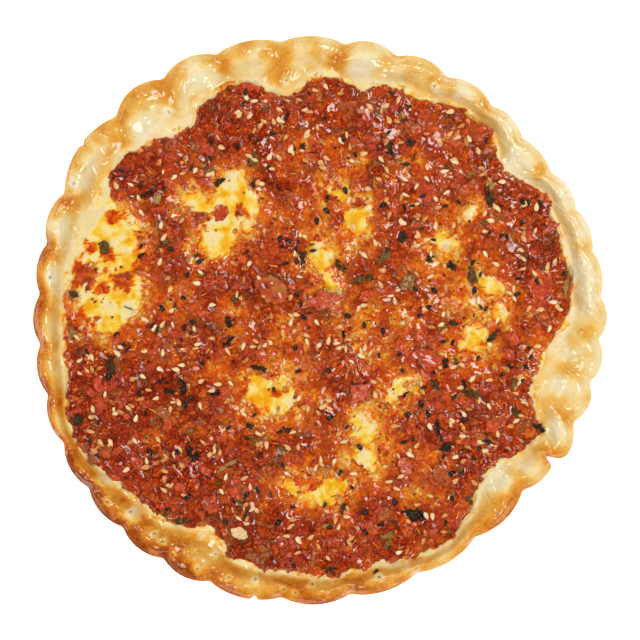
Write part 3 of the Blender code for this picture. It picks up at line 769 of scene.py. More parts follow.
def rim_spots(spots, x, y):
    """For each spot of the rim: how far every point is from it, and the rest of its row."""
    for degrees, share, *rest in spots:
        turned = math.radians(degrees)
        inner = at(FILLING_EDGE, turned)
        out = inner + share * (at(BREAD_EDGE, turned) - inner)
        yield np.hypot(x - out * math.cos(turned), y - out * math.sin(turned)), *rest


def rim_relief(x, y):
    """The rim's finger hollows, ridges, bubbles and lumps: how far they lift its top, and how
    strong the hollows, the ridges and the bubbles are at each point."""
    share = rim_share(x, y)
    angle = np.arctan2(y, x) - HOLLOW_TWIST * (1.0 - share)
    chance = at(PINCH_CHANCE, angle)
    middle = at(PINCH_MIDDLE, angle)
    uneven = wander(x, y, 11.0 * MM, 3.0)
    across = np.exp(-((share - HOLLOW[0] - 0.15 * chance) / HOLLOW[1]) ** 2)
    hollow = np.clip(middle ** 0.8 * across * (0.8 + 1.0 * chance + 0.8 * uneven), 0.0, 1.2)
    across = np.exp(-((share - RIDGE[0]) / RIDGE[1]) ** 2)
    ridge = (1.0 - middle) ** 2 * across * (0.8 + 0.9 * uneven)
    bubble = np.zeros_like(x)
    lift = np.zeros_like(x)
    for away, reach, height in rim_spots(BUBBLES, x, y):
        risen = smooth(1.5 - 1.5 * away / (reach * MM))
        bubble = np.maximum(bubble, risen)
        lift = lift + height * MM * risen
    for away, reach in rim_spots(PALE_SPOTS, x, y):
        lift = lift + PILLOW_HEIGHT * smooth(1.4 - 1.1 * away / (reach * MM))
    soft = wander(x, y, 8.0 * MM, 1.0)
    small = wander(x, y, 3.2 * MM, 2.0)
    fold = np.abs(wander(x + 0.6 * y, y - 0.6 * x, 5.5 * MM, 4.0))
    lift = lift + SOFT_LUMPS * soft + SMALL_LUMPS * small - FOLD_DEPTH * np.exp(-(fold / 0.06) ** 2)
    lift = lift - HOLLOW[2] * hollow + RIDGE[2] * ridge - SETTLED
    fade = np.where(share > 0.0, smooth(share / 0.2) * smooth((1.0 - share) / 0.1), 0.0)
    return lift * fade, hollow, ridge, bubble


def rim_height(x, y):
    """The height of the rim's top at any point outside the well's wall."""
    share = np.clip(rim_share(x, y), 0.0, 1.0)
    return rim_surface(np.arctan2(y, x), share) + rim_relief(x, y)[0]


def around(parts, degrees):
    """The sum of some swells round the rim, each with its middle, half width and height."""
    return sum(height * hump(degrees, middle, half_width) for middle, half_width, height in parts)


def rim_browning(x, y, share, hollow, ridge, bubble):
    """How browned the bread is: the high places and the outer lip most, the hollows least. At the
    outermost edge part of the darkening is painted shade, and by the well's wall part of the
    paleness is painted light.
    """
    degrees = np.degrees(np.arctan2(y, x))
    patch = smooth(0.5 + 0.9 * wander(x, y, 15.0 * MM, 5.0) + 0.5 * wander(x, y, 6.0 * MM, 6.0))
    lip = smooth((share - 0.42) / 0.4)
    inner = smooth((share - 0.02) / 0.3)
    hollow = np.clip(hollow, 0.0, 1.0)
    level = BASE_BROWNING + around(BROWNED_PARTS, degrees)
    browning = level * (0.2 + 0.75 * ridge + 0.55 * patch * inner + 0.25 * bubble)
    browning = browning + around(LIP_PARTS, degrees) * lip * (0.6 + 0.7 * patch)
    # The hollows are less browned. Towards the well's wall it is also less browned, partly the pale
    # dough beside the filling and partly painted light on the shaded inner slope.
    browning = browning * (1.0 - 0.85 * hollow) * (0.45 + 0.55 * inner)
    broad = around(BROAD_PARTS, degrees) * (0.8 + 0.4 * patch)
    browning = browning + broad * inner * (1.0 - 0.35 * hollow)
    soft = 0.5 * wander(x, y, 4.5 * MM, 7.0) + 0.25 * wander(x, y, 1.6 * MM, 8.0)
    for away, reach, brown in rim_spots(BROWN_SPOTS, x, y):
        browning = np.maximum(browning, brown * smooth(1.15 - away / (reach * MM) + soft))
    for away, reach in rim_spots(PALE_SPOTS, x, y):
        browning = browning * (1.0 - 0.8 * smooth(1.3 - away / (reach * MM) + 0.6 * soft))
    # The outermost edge is darker, partly browning and partly painted shade where it turns down.
    edge_browning_and_shade = around(EDGE_BROWNING_AND_SHADE, degrees)
    browning = browning + edge_browning_and_shade * smooth((share - 0.8) / 0.2)
    browning = np.minimum(browning, 0.225 + 0.5 * browning)
    beneath = 0.35 + (0.25 * edge_browning_and_shade + 0.4 * wander(x, y, 7.0 * MM, 5.0)) * (share < SHARE_BELOW)
    return np.where(share > 1.0, beneath, browning)


def rim_grease(x, y, on_rim):
    """How far fat from the filling has run out over the dough."""
    from_wall = np.maximum(np.hypot(x, y) - at(FILLING_EDGE, np.arctan2(y, x)) - GAP, 0.0)
    degrees = np.degrees(np.arctan2(y, x))
    run = around(GREASE_RUNS, degrees)
    spill = GREASE_FRINGE * (0.35 + 1.3 * crumble(x, y, 13.0 * MM, 9.3)) + GREASE_REACH * run
    grease = (0.7 + 0.3 * run) * np.exp(-(from_wall / np.maximum(spill, 0.5 * MM)) ** 2)
    across = 0.9 * hump(degrees, *GREASE_ACROSS)
    return np.where(on_rim, np.maximum(grease, across), 0.0)


def bread_rings(angles):
    """The rings of points from below the bread's middle out to its edge, and in over the rim to
    its well: for each, the radius and the height at those angles, and the share of the rim."""
    edge = at(BREAD_EDGE, angles)
    wall = at(FILLING_EDGE, angles) + GAP
    rings = [((edge - TUCK_UNDER) * part, 0.0, SHARE_BELOW) for part in BASE_RINGS]
    for step in np.linspace(0.0, 1.0, EDGE_STATIONS, endpoint=False):
        turn = step * math.pi / 2.0
        radius = edge - TUCK_UNDER * (1.0 - math.sin(turn))
        rings.append((radius, WIDEST_HEIGHT * (1.0 - math.cos(turn)), 1.6 - 0.6 * step))
    for step in range(RIM_STATIONS):
        share = max(math.cos(math.pi / 2.0 * (step / (RIM_STATIONS - 1)) ** CROWDED), 0.0)
        rings.append((wall + (edge - wall) * share, rim_surface(angles, share), share))
    return rings + [(wall * part, TRAY_HEIGHT, SHARE_IN_WELL) for part in WELL_RINGS]


def make_bread():
    """The base and the pinched rim, one skin all round, over the dough's solid."""
    angles = np.linspace(-math.pi, math.pi, BREAD_STEPS, endpoint=False)
    rings = np.array([np.broadcast_arrays(*ring, angles) for ring in bread_rings(angles)])
    middles = [[0.0, 0.0], [0.0, TRAY_HEIGHT], [SHARE_BELOW, SHARE_IN_WELL], [0.0, 0.0]]
    rows = rings.transpose(1, 0, 2).reshape(4, -1)
    radius, height, share, angle = np.hstack([rows, middles])
    x = radius * np.cos(angle)
    y = radius * np.sin(angle)
    on_rim = (share >= 0.0) & (share <= 1.0)
    lift, hollow, ridge, bubble = rim_relief(x, y)
    pit_and_shade = np.zeros_like(x)
    blister = np.zeros_like(x)
    uneven = 1.0 + 0.7 * wander(x, y, 2.4 * MM, 31.3)
    for (away,) in rim_spots(PRICKS, x, y):
        away = away * uneven
        pit_and_shade = pit_and_shade + np.exp(-(away / PRICK_RADIUS) ** 2)
        blister = blister + np.exp(-(away / BLISTER_RADIUS) ** 4)
    lift = lift + BLISTER_HEIGHT * blister - PRICK_DEPTH * pit_and_shade
    height = height + np.where(on_rim, lift, 0.0)
    browning = rim_browning(x, y, share, hollow, ridge, bubble) - 0.3 * blister
    points = np.stack([x, y, height], -1)
    triangles = ring_faces(len(rings), BREAD_STEPS)
    bread = mesh_object("baked_bread", points, triangles, baked_wheat_dough(), {
        "browning": np.clip(browning, 0.0, 1.0),
        "grease": rim_grease(x, y, on_rim),
        "oiled": smooth((0.95 - share) / 0.17) * (share >= 0.0),
        # How much painted shade each pricked hole gets.
        "pit_and_shade": np.where(on_rim, np.clip(pit_and_shade * 1.3 - 0.3, 0.0, 0.9), 0.0),
    })
    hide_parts("dough_base")
    return bread


# ---------------------------------------------------------------- cheese and spread

def window_distance(window, x, y):
    """How far outside a window each point is, along the line from its middle."""
    middle_x, middle_y, half_length, half_width, angle = window
    turned = math.radians(angle)
    along = (x - middle_x) * math.cos(turned) + (y - middle_y) * math.sin(turned)
    across = (y - middle_y) * math.cos(turned) - (x - middle_x) * math.sin(turned)
    reach = np.hypot(along, across) + 1e-9
    oval = np.hypot(along / half_length, across / half_width) + 1e-9
    return reach - reach / oval


def nearness(spots, x, y):
    """How close each point is to one of some round places, from 0 to 1."""
    near = np.zeros_like(x)
    for spot_x, spot_y, reach in spots:
        near = np.maximum(near, np.exp(-((x - spot_x) ** 2 + (y - spot_y) ** 2) / reach ** 2))
    return near


def bareness(x, y):
    """How far each point is outside the bare places, made ragged, how thin the spread that
    lies there is, and how much of a stray scrap of spread there is, both from 0 to 1."""
    nearest = np.min([window_distance(window, x, y) for window in WINDOWS + CLEARINGS], axis=0)
    rough = crumble(x, y, 6.5 * MM, 11.3)
    fine = wander(x, y, 0.9 * MM, 13.3)
    nearest = nearest + 3.2 * MM * rough + 0.9 * MM * fine
    torn = 0.75 * crumble(x, y, 2.6 * MM, 28.3) + 0.2 * fine
    scrap = np.zeros_like(x)
    for spot_x, spot_y, reach in ISLANDS:
        away = np.hypot(x - spot_x, y - spot_y) / reach
        scrap = np.maximum(scrap, smooth(2.2 * (1.0 - away + torn * np.minimum(away, 1.0))))
    thin = 0.15 + 0.85 * nearness(THIN_SPOTS, x, y) - 0.5 * nearness(DEEP_SPOTS, x, y)
    thin = thin + 0.45 * crumble(x, y, 10.0 * MM, 17.3) + 0.3 * wander(x, y, 4.0 * MM, 18.3)
    return nearest, np.clip(thin, 0.0, 1.0), scrap


def cheese_surface(x, y):
    """The cheese's height, how stained with red oil it is, and how pale its clots are."""
    radius = np.hypot(x, y)
    angle = np.arctan2(y, x)
    from_wall = radius - at(FILLING_EDGE, angle) - GAP
    nearest, thin, scrap = bareness(x, y)
    bay = at(SPREAD_EDGE, angle) - radius + 1.5 * MM * crumble(x, y, 5.0 * MM, 12.3)
    open_here = smooth((4.0 * MM - nearest) / (6.0 * MM))
    open_here = np.maximum(open_here, 0.8 * thin)
    open_here = np.maximum(open_here, smooth((1.0 * MM - bay) / (4.0 * MM)))
    clots = crumble(x, y, 5.0 * MM, 14.3)
    height = CHEESE_TOP + BARE_RISE * open_here + CLOT_HEIGHT * clots
    rise = smooth((from_wall + 2.4 * MM) / (2.3 * MM))
    brim = WALL_HEIGHT + BRIM_OVER + BRIM_UNEVEN * wander(x, y, 6.5 * MM, 27.3)
    height = height + (brim + 0.12 * MM * wander(x, y, 2.0 * MM, 30.3) - height) * rise
    stain = 0.02 + 0.8 * smooth((nearest + 4.0 * MM) / (6.5 * MM))
    stain = stain + 0.3 * crumble(x, y, 7.0 * MM, 15.3)
    at_bay = 0.7 * smooth((bay + 2.0 * MM) / (3.5 * MM)) + 0.35 * crumble(x, y, 6.0 * MM, 15.3)
    stain = np.where(bay < 1.5 * MM, at_bay, stain)
    stain = np.maximum(stain, 0.8 * scrap)
    near_wall = smooth((from_wall + 7.0 * MM) / (7.0 * MM))
    stain = stain + (0.16 + 0.5 * crumble(x, y, 9.0 * MM, 16.3) - stain) * rise
    pale = 0.5 + 0.6 * clots + 0.5 * near_wall * smooth((2.0 * MM - bay) / (4.0 * MM))
    pale = pale + (0.84 + 0.45 * clots - pale) * rise
    return height, np.clip(stain, 0.0, 1.0), np.clip(pale, 0.0, 1.0)


def ground_height(x, y):
    """The height of what the spread lies on: the cheese, and the rim beyond the well's wall."""
    beyond = np.hypot(x, y) - at(FILLING_EDGE, np.arctan2(y, x)) - GAP
    cheese = cheese_surface(x, y)[0]
    return np.where(beyond > 0.0, np.maximum(cheese, rim_height(x, y)), cheese)


def make_cheese():
    """The cheese, from the floor of the well up over the top of its wall."""
    share, angle, quads = disc_grid(CHEESE_GRID)
    radius = share * at(FILLING_EDGE + GAP + FRINGE, angle)
    x = radius * np.cos(angle)
    y = radius * np.sin(angle)
    height, stain, pale = cheese_surface(x, y)
    points = np.stack([x, y, height], -1)
    points, triangles = close_below(points, quads, disc_border(CHEESE_GRID), TRAY_HEIGHT + 0.1 * MM)
    cheese = mesh_object("melted_cheese", points, triangles, molten_cheese(), {
        "stain": padded_values(stain, len(points)),
        "pale": padded_values(pale, len(points)),
    })
    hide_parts("cheese")
    return cheese


def spread_surface(x, y):
    """The spread's height and its looks at each point: its depth over the cheese, how much painted
    shade falls in the crevices between its lumps, and the lumps' tint."""
    radius = np.hypot(x, y)
    angle = np.arctan2(y, x)
    nearest, thin, scrap = bareness(x, y)
    inside = at(SPREAD_EDGE, angle) + SPREAD_OVER - radius
    inside = inside + SPREAD_RAGGED * crumble(x, y, 6.0 * MM, 19.3)
    inside = inside + 0.4 * MM * wander(x, y, 1.2 * MM, 20.3)
    # Bent chips: the places are moved about before the plane is split.
    warp_x = x + 1.5 * MM * wander(x, y, 3.4 * MM, 21.3) + 0.6 * MM * wander(x, y, 1.4 * MM, 25.3)
    warp_y = y + 1.5 * MM * wander(x, y, 3.4 * MM, 22.3) + 0.6 * MM * wander(x, y, 1.4 * MM, 26.3)
    gap, away, own = chips(warp_x, warp_y, CHOP_SIZE, 31)
    fine_gap, _, fine_own = chips(warp_x, warp_y, FINE_CHOP_SIZE, 32)
    dome = smooth(gap * 3.5)
    fine_dome = smooth(fine_gap * 3.0)
    lumps = wander(x, y, LUMP_LENGTH, 0.0) + 0.5 * wander(x, y, 0.45 * LUMP_LENGTH, 1.0 / 0.45)
    relief = 0.8 * SPREAD_LUMPS * lumps + 0.22 * MM * (dome - 0.6)
    relief = relief + 0.42 * MM * (own[:, 0] - 0.5) * dome
    relief = relief + (own[:, 1] - 0.5) * 0.24 * away[:, 0] + (own[:, 2] - 0.5) * 0.24 * away[:, 1]
    relief = relief + 0.16 * MM * (fine_own[:, 0] - 0.5) * fine_dome
    relief = relief + 0.12 * MM * wander(x, y, 1.6 * MM, 23.3)
    cover = smooth((nearest + 0.5 * MM) / (8.0 * MM))
    depth = cover * (1.0 - 0.8 * thin)
    sunk = smooth((2.6 * MM - nearest) / (5.0 * MM)) * (1.0 - 0.62 * scrap)
    height = SPREAD_BOTTOM + SPREAD_THICKNESS + relief
    height = height - THIN_DROP * (1.0 - depth) - BARE_DROP * sunk
    depth = np.maximum(depth, 0.85 * scrap)
    shoulder = np.sqrt(1.0 - (1.0 - np.clip(inside / SHOULDER, 0.0, 1.0)) ** 2)
    ground = ground_height(x, y)
    edge = ground + (height - ground) * shoulder + 0.8 * np.minimum(inside, 0.0)
    height = np.where(inside < 2.0 * MM, edge, height)
    looks = {
        "depth": np.clip(depth * (0.55 + 0.45 * shoulder), 0.0, 1.0),
        # Painted shade, strongest in the gaps between the chips.
        "crevice_shade": 1.0 - 0.6 * dome - 0.4 * fine_dome,
        "tint": 0.5 * own[:, 3] + 0.5 * fine_own[:, 3],
        "kind": np.zeros_like(x),
    }
    return height, looks


def make_spread(paste):
    """The spread over the cheese, down to its ragged edge on the rim."""
    share, angle, quads = disc_grid(SPREAD_GRID)
    radius = share * at(SPREAD_EDGE + SPREAD_FRINGE, angle)
    x = radius * np.cos(angle)
    y = radius * np.sin(angle)
    height, looks = spread_surface(x, y)
    points = np.stack([x, y, height], -1)
    points, triangles = close_below(points, quads, disc_border(SPREAD_GRID), TRAY_HEIGHT + 0.6 * MM)
    spread = mesh_object("pepper_spread", points, triangles, paste, {
        name: padded_values(values, len(points)) for name, values in looks.items()
    })
    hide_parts("muhammara")
    return spread


# ---------------------------------------------------------------- small things

# The larger chips and herb shreds, each in its own place. In millimetres: the middle, length
# and width; then the angle in degrees and the look, from red to brown for a chip and from
# black to straw for a herb.
CHIP_SPOTS = (
    (-17, 26, 12, 8, 10, 0.6), (-43, -60.5, 7.5, 6.5, 30, 0.63), (79, 12.5, 12, 9, 80, 0.5),
    (38, -13.5, 12, 6.5, -20, 0.42), (55, 67, 10, 6.5, 5, 0.88), (26, 54.5, 8, 7, 45, 0.84),
    (38, 46, 8.5, 7.5, 20, 0.5), (-53, 53.5, 6.5, 6, 0, 0.6), (-66, 57, 10, 4.5, 15, 0.64),
    (-25, 82, 8, 6, 160, 0.55), (17, 73.5, 7, 5, 70, 0.45), (31.5, 13.5, 8.5, 6.5, 80, 0.96),
    (46, 54, 6, 4.5, 130, 0.97), (-57, 34, 4.5, 3.5, 30, 0.95), (-44.5, 62, 4.5, 3.5, 70, 0.95),
    (22.5, 27.5, 5, 3.2, 150, 0.93), (62.5, 36, 6.5, 4, 110, 0.95), (-66, 44.5, 5.5, 4, 20, 0.97),
    (64, -36, 7, 4.5, 35, 0.9), (43.5, -55.5, 9, 6, 120, 0.9), (-80.5, -49.5, 5, 4, 10, 0.94),
    (23, -81, 9, 6.5, 150, 0.62), (-67, -59, 8, 5, 170, 0.64), (9, 77, 5.5, 4.5, 40, 0.9),
    (-50, 8, 7, 6, 60, 0.58), (44, -73, 8, 5.5, 20, 0.6), (-18, 79, 6, 4.5, 50, 0.78),
)
HERB_SPOTS = (
    (-7.7, 24.3, 10, 5, 97, 0.22), (-75, -17, 9, 3, 80, 0.2), (60.3, 44.5, 8, 3.6, 95, 0.2),
    (55.5, -27, 10, 3.2, -25, 0.4), (39, 22, 3.5, 2.6, 70, 0.2), (22.8, 22.5, 8, 2.8, 50, 0.55),
    (15.5, 14.6, 8, 2.6, 18, 0.42), (53.8, 17, 10, 3, 108, 0.45), (88, 13, 11, 1.3, 80, 0.95),
    (-36, 49, 4.6, 2.2, 30, 0.2), (-23.8, 57.6, 6, 3, 72, 0.5), (-18.5, 28.3, 4, 2.4, 10, 0.05),
    (7.5, 19.5, 5.5, 2.6, -40, 0.3), (29.5, 29.5, 4, 3, 60, 0.1), (-45, -48, 6.5, 3.4, -45, 0.02),
    (-32.5, -7.5, 5, 2.4, 30, 0.02), (-22, -17, 6, 2.2, -20, 0.1),
    (-12.8, -39.6, 5.5, 2.2, 12, 0.1), (-33.5, -52, 8.5, 1.4, 32, 0.95),
    (32.5, -69, 9, 3.4, -15, 0.1), (3.4, -89, 6, 3, -10, 0.1), (-86.5, -35.5, 5, 3.4, 110, 0.15),
    (-49, -71.6, 5.5, 2.4, 10, 0.35), (-65, -63, 3.6, 3, 60, 0.3), (45, -45.5, 5, 3.2, 30, 0.1),
    (42, -38.5, 5, 1.8, 95, 0.05), (-22, -43, 6, 1.6, 30, 0.6), (-77, 26, 5, 3.6, 100, 0.4),
    (78, 41, 4, 2.4, 60, 0.15), (62, -5.5, 6, 2, 45, 0.2), (41, -24, 5, 2.6, 110, 0.3),
    (78, -38.5, 5, 2.4, -30, 0.1), (25, 61, 5, 2.4, 100, 0.15), (24, -77, 6, 2, 20, 0.75),
    (48, 19, 6, 3, 160, 0.15), (20, -90, 3, 1.6, 60, 0.2),
)

# Above 1, more of the bits are short ones. The widths and heights vary between two shares.
MORE_SHORT = 1.6
UNEVEN_CUT = (0.8, 1.2)


def shape_arrays(builder):
    """The points and the triangles of a finished shape."""
    bmesh.ops.triangulate(builder, faces=builder.faces)
    builder.verts.index_update()
    points = np.array([vert.co[:] for vert in builder.verts])
    faces = np.array([[vert.index for vert in face.verts] for face in builder.faces])
    builder.free()
    return points, faces


def shard_shapes(count, detail, rng):
    """Chopped vegetable one unit long: flat, with a ragged many-sided outline and an uneven top."""
    shapes = []
    for _ in range(count):
        builder = bmesh.new()
        bmesh.ops.create_icosphere(builder, subdivisions=detail, radius=0.5)
        sides = rng.integers(4, 7)
        turned = rng.uniform(0.0, 2.0 * math.pi)
        offset = Vector(rng.uniform(0.0, 50.0, 3))
        for vert in builder.verts:
            around = math.atan2(vert.co.y, vert.co.x) - turned
            corner = 2.0 * math.pi / sides
            flat = math.cos(corner / 2.0) / math.cos((around % corner) - corner / 2.0)
            outline = Vector((math.cos(around), math.sin(around), 0.0)) * 2.5
            torn = 1.0 + 0.3 * noise.noise(outline + offset)
            vert.co.x *= flat * torn * 1.1
            vert.co.y *= flat * torn * 1.1
            rough = noise.noise(Vector((vert.co.x, vert.co.y, 0.0)) * 4.5 + offset)
            lift = math.copysign(min(abs(vert.co.z) * 2.2, 0.5), vert.co.z)
            vert.co.z = lift * (1.0 + 0.6 * rough)
        shapes.append(shape_arrays(builder))
    return shapes


def seed_shapes(count, sides, rings, narrow, rng):
    """Teardrop seeds one unit long, lying along X."""
    shapes = []
    for _ in range(count):
        builder = bmesh.new()
        bmesh.ops.create_uvsphere(builder, u_segments=sides, v_segments=rings, radius=0.5)
        bend = rng.uniform(-0.12, 0.12)
        for vert in builder.verts:
            along = vert.co.z
            slim = 1.0 - narrow * along - narrow * along * along
            bent = vert.co.x * slim + bend * (along * along - 0.1)
            vert.co = Vector((along, bent, vert.co.y * slim))
        shapes.append(shape_arrays(builder))
    return shapes


def leaf_shapes(count, rng):
    """Dried leaf shreds one unit long: thin, torn, wrinkled and curled."""
    shapes = []
    for _ in range(count):
        builder = bmesh.new()
        bmesh.ops.create_grid(builder, x_segments=16, y_segments=10, size=0.5)
        offset = Vector(rng.uniform(0.0, 50.0, 3))
        curl = rng.uniform(-1.0, 1.6)
        for vert in builder.verts:
            along, across = vert.co.x, vert.co.y
            narrow = math.sqrt(max(1.0 - (1.9 * along) ** 2, 0.02))
            margin = Vector((along * 7.0, math.copysign(1.0, across), 0.0))
            torn = 1.0 + 0.9 * noise.noise(margin + offset)
            across = across * narrow * torn
            along = along * (1.0 + 0.5 * noise.noise(Vector((0.0, across * 9.0, 2.0)) + offset))
            wrinkle = noise.noise(Vector((along * 3.0, across * 10.0, 0.0)) + offset)
            fold = abs(noise.noise(Vector((along * 2.0, across * 4.0, 7.0)) + offset))
            lift = curl * (along ** 2 - 0.08) + 0.7 * wrinkle + 0.6 * fold
            vert.co = Vector((along, across, lift))
        top = list(builder.faces)
        bmesh.ops.solidify(builder, geom=top, thickness=0.12)
        shapes.append(shape_arrays(builder))
    return shapes


def strand_shapes(count, rng):
    """Fibres of pepper skin one unit long: thin bent strips with pointed ends."""
    shapes = []
    for _ in range(count):
        builder = bmesh.new()
        bend = rng.uniform(-1.1, 1.1)
        hook = rng.uniform(-1.5, 1.5)
        rings = []
        for step in range(STRAND_STEPS + 1):
            along = step / STRAND_STEPS - 0.5
            side = bend * (along * along - 0.12) + hook * along ** 3
            thick = 0.5 * math.sqrt(max(1.0 - (2.0 * along) ** 4, 0.0)) + 0.04
            rings.append([
                builder.verts.new((along, side + thick * math.cos(turn), thick * math.sin(turn)))
                for turn in [eighths * math.pi / 4.0 for eighths in (1, 3, 5, 7)]
            ])
        for first, second in zip(rings, rings[1:]):
            for corner in range(4):
                after = (corner + 1) % 4
                builder.faces.new((first[corner], first[after], second[after], second[corner]))
        builder.faces.new(rings[0][::-1])
        builder.faces.new(rings[-1])
        shapes.append(shape_arrays(builder))
    return shapes


def turns(yaw, pitch, roll):
    """Rotation matrices from three arrays of angles."""
    cy, sy = np.cos(yaw), np.sin(yaw)
    cp, sp = np.cos(pitch), np.sin(pitch)
    cr, sr = np.cos(roll), np.sin(roll)
    nil, one = np.zeros_like(yaw), np.ones_like(yaw)
    about_z = np.array([[cy, -sy, nil], [sy, cy, nil], [nil, nil, one]]).transpose(2, 0, 1)
    about_y = np.array([[cp, nil, sp], [nil, one, nil], [-sp, nil, cp]]).transpose(2, 0, 1)
    about_x = np.array([[one, nil, nil], [nil, cr, -sr], [nil, sr, cr]]).transpose(2, 0, 1)
    return about_z @ about_y @ about_x


def scattered(name, shapes, places, sizes, rotations, looks, material):
    """One mesh of many small things: each a shape, sized, turned and put in its place."""
    points = []
    faces = []
    counts = []
    total = 0
    for number, place in enumerate(places):
        shape_points, shape_faces = shapes[number % len(shapes)]
        points.append((shape_points * sizes[number]) @ rotations[number].T + place)
        faces.append(shape_faces + total)
        counts.append(len(shape_points))
        total += len(shape_points)
    values = {key: np.repeat(own, counts) for key, own in looks.items()}
    return mesh_object(name, np.concatenate(points), np.concatenate(faces), material, values)


def random_places(count, thin_share, rng):
    """Random places, gathered in drifts: on the spread, fewer where it is thin, and few in the
    open windows."""
    found = np.zeros((0, 2))
    while len(found) < count:
        x, y = rng.uniform(-SCATTER_REACH, SCATTER_REACH, (2, count * 3))
        inside = at(SPREAD_EDGE, np.arctan2(y, x)) - np.hypot(x, y) > BITS_INSIDE
        x, y = x[inside], y[inside]
        nearest, thin, scrap = bareness(x, y)
        chance = rng.random(len(x))
        gathered = 0.75 + 0.9 * wander(x, y, GATHERING, 29.3)
        keep = (nearest > -1.0 * MM) & (chance > thin * (1.0 - thin_share))
        keep = (keep | (scrap > 0.6) | (chance < STRAY_SHARE)) & (rng.random(len(x)) < gathered)
        found = np.concatenate([found, np.stack([x[keep], y[keep]], -1)])
    return found[:count]


def scatter_bits(name, shapes, material, seed, count, size, thin_share, sunk, tilt, placed=()):
    """Scatters one kind of bit over the spread, and adds those that have a place of their own.
    size is its least and most length, and its width and thickness as shares of the length;
    thin_share says how many lie where the spread is thin, sunk how much of the thickness is
    below, and tilt how far they lean, in radians."""
    rng = np.random.default_rng(seed)
    shortest, longest, wide, thick = size
    spots = random_places(count, thin_share, rng)
    length = shortest + (longest - shortest) * rng.random(count) ** MORE_SHORT
    width = length * wide * rng.uniform(*UNEVEN_CUT, count)
    height = length * thick * rng.uniform(*UNEVEN_CUT, count)
    yaw = rng.uniform(0.0, 2.0 * math.pi, count)
    look = rng.random(count)
    kind = 0.42 + 0.58 * rng.random(count) ** 1.8
    if placed:
        own_x, own_y, own_length, own_width, own_yaw, own_look = np.array(placed).T
        spots = np.concatenate([spots, np.stack([own_x, own_y], -1) * MM])
        length = np.concatenate([length, own_length * MM])
        width = np.concatenate([width, own_width * MM])
        height = np.concatenate([height, 0.5 * (own_length + own_width) * thick * MM])
        yaw = np.concatenate([yaw, np.radians(own_yaw)])
        look = np.concatenate([look, own_look])
        kind = np.concatenate([kind, own_look])
        count += len(placed)
    ground, looks = spread_surface(*spots.T)
    ground = np.maximum(ground, ground_height(*spots.T))
    sizes = np.stack([length, width, height], -1)
    rotations = turns(yaw, rng.normal(0.0, tilt, count), rng.normal(0.0, tilt, count))
    places = np.column_stack([spots, ground + height * (0.5 - sunk)])
    looks = {
        "tint": np.clip(look, 0.0, 1.0),
        "kind": kind,
        "depth": 0.5 + 0.5 * looks["depth"],
        # No painted crevice shade on the bits.
        "crevice_shade": np.zeros(count),
    }
    piece = scattered(name, shapes, places, sizes, rotations, looks, material)
    return piece


def make_small_things(paste):
    """The chopped bits, fibres, herbs and seeds, one piece for each kind."""
    rng = np.random.default_rng(5)
    shards = shard_shapes(16, 3, rng)
    crumbs = shard_shapes(12, 2, rng)
    fines = shard_shapes(12, 1, rng)
    strands = strand_shapes(14, rng)
    teardrops = seed_shapes(6, 12, 8, 0.8, rng)
    grains = seed_shapes(6, 8, 6, 0.6, rng)
    leaves = leaf_shapes(14, rng)
    sesame = food_bits("toasted_sesame", (
        (0.0, "#B86426"), (0.28, "#D4924E"), (0.58, "#E2B278"), (1.0, "#EED0A0"),
    ), fleck_size=1.5 * MM, relief=0.03 * MM, roughness=0.35, coat=0.5, fleck_share=0.7)
    nigella = food_bits("nigella_seed", (
        (0.0, "#060504"), (0.6, "#0D0B0A"), (1.0, "#1B1918"),
    ), fleck_size=0.5 * MM, relief=0.05 * MM, roughness=0.4, coat=0.6)
    herbs = food_bits("dried_herb_leaf", (
        (0.0, "#120A04"), (0.25, "#36220A"), (0.5, "#684818"), (0.8, "#8C682C"), (1.0, "#B08E50"),
    ), fleck_size=0.7 * MM, relief=0.2 * MM, roughness=0.5, coat=0.15, fleck_share=1.2)
    skins = food_bits("pepper_skin_fibre", (
        (0.0, "#3E0A02"), (0.35, "#8E2206"), (0.6, "#BC3E0C"), (0.86, "#DC6A1C"), (1.0, "#F0AC50"),
    ), fleck_size=1.0 * MM, relief=0.05 * MM, roughness=0.25, coat=0.6, fleck_share=0.3)
    return [
        scatter_bits(
            "chopped_pepper_shards", shards, paste, seed=101, count=200,
            size=(2.2 * MM, 6.5 * MM, 0.7, 0.12), thin_share=0.45, sunk=0.66, tilt=0.08,
            placed=CHIP_SPOTS),
        scatter_bits(
            "chopped_crumbs", crumbs, paste, seed=102, count=500,
            size=(1.0 * MM, 3.0 * MM, 0.75, 0.3), thin_share=0.9, sunk=0.3, tilt=0.2),
        scatter_bits(
            "pepper_skin_fibres", strands, skins, seed=106, count=1500,
            size=(1.2 * MM, 4.2 * MM, 0.12, 0.09), thin_share=1.2, sunk=0.1, tilt=0.15),
        scatter_bits(
            "pepper_crumbs", fines, skins, seed=107, count=1500,
            size=(0.5 * MM, 1.5 * MM, 0.8, 0.5), thin_share=1.2, sunk=0.25, tilt=0.4),
        scatter_bits(
            "herb_shreds", leaves, herbs, seed=103, count=86,
            size=(2.0 * MM, 4.6 * MM, 0.5, 0.24), thin_share=0.7, sunk=0.25, tilt=0.12,
            placed=HERB_SPOTS),
        scatter_bits(
            "sesame_seeds", teardrops, sesame, seed=104, count=500,
            size=(2.6 * MM, 3.3 * MM, 0.5, 0.3), thin_share=1.0, sunk=0.08, tilt=0.2),
        scatter_bits(
            "nigella_seeds", grains, nigella, seed=105, count=160,
            size=(2.2 * MM, 3.2 * MM, 0.52, 0.5), thin_share=0.9, sunk=0.0, tilt=0.25),
    ]


# ---------------------------------------------------------------- large pieces

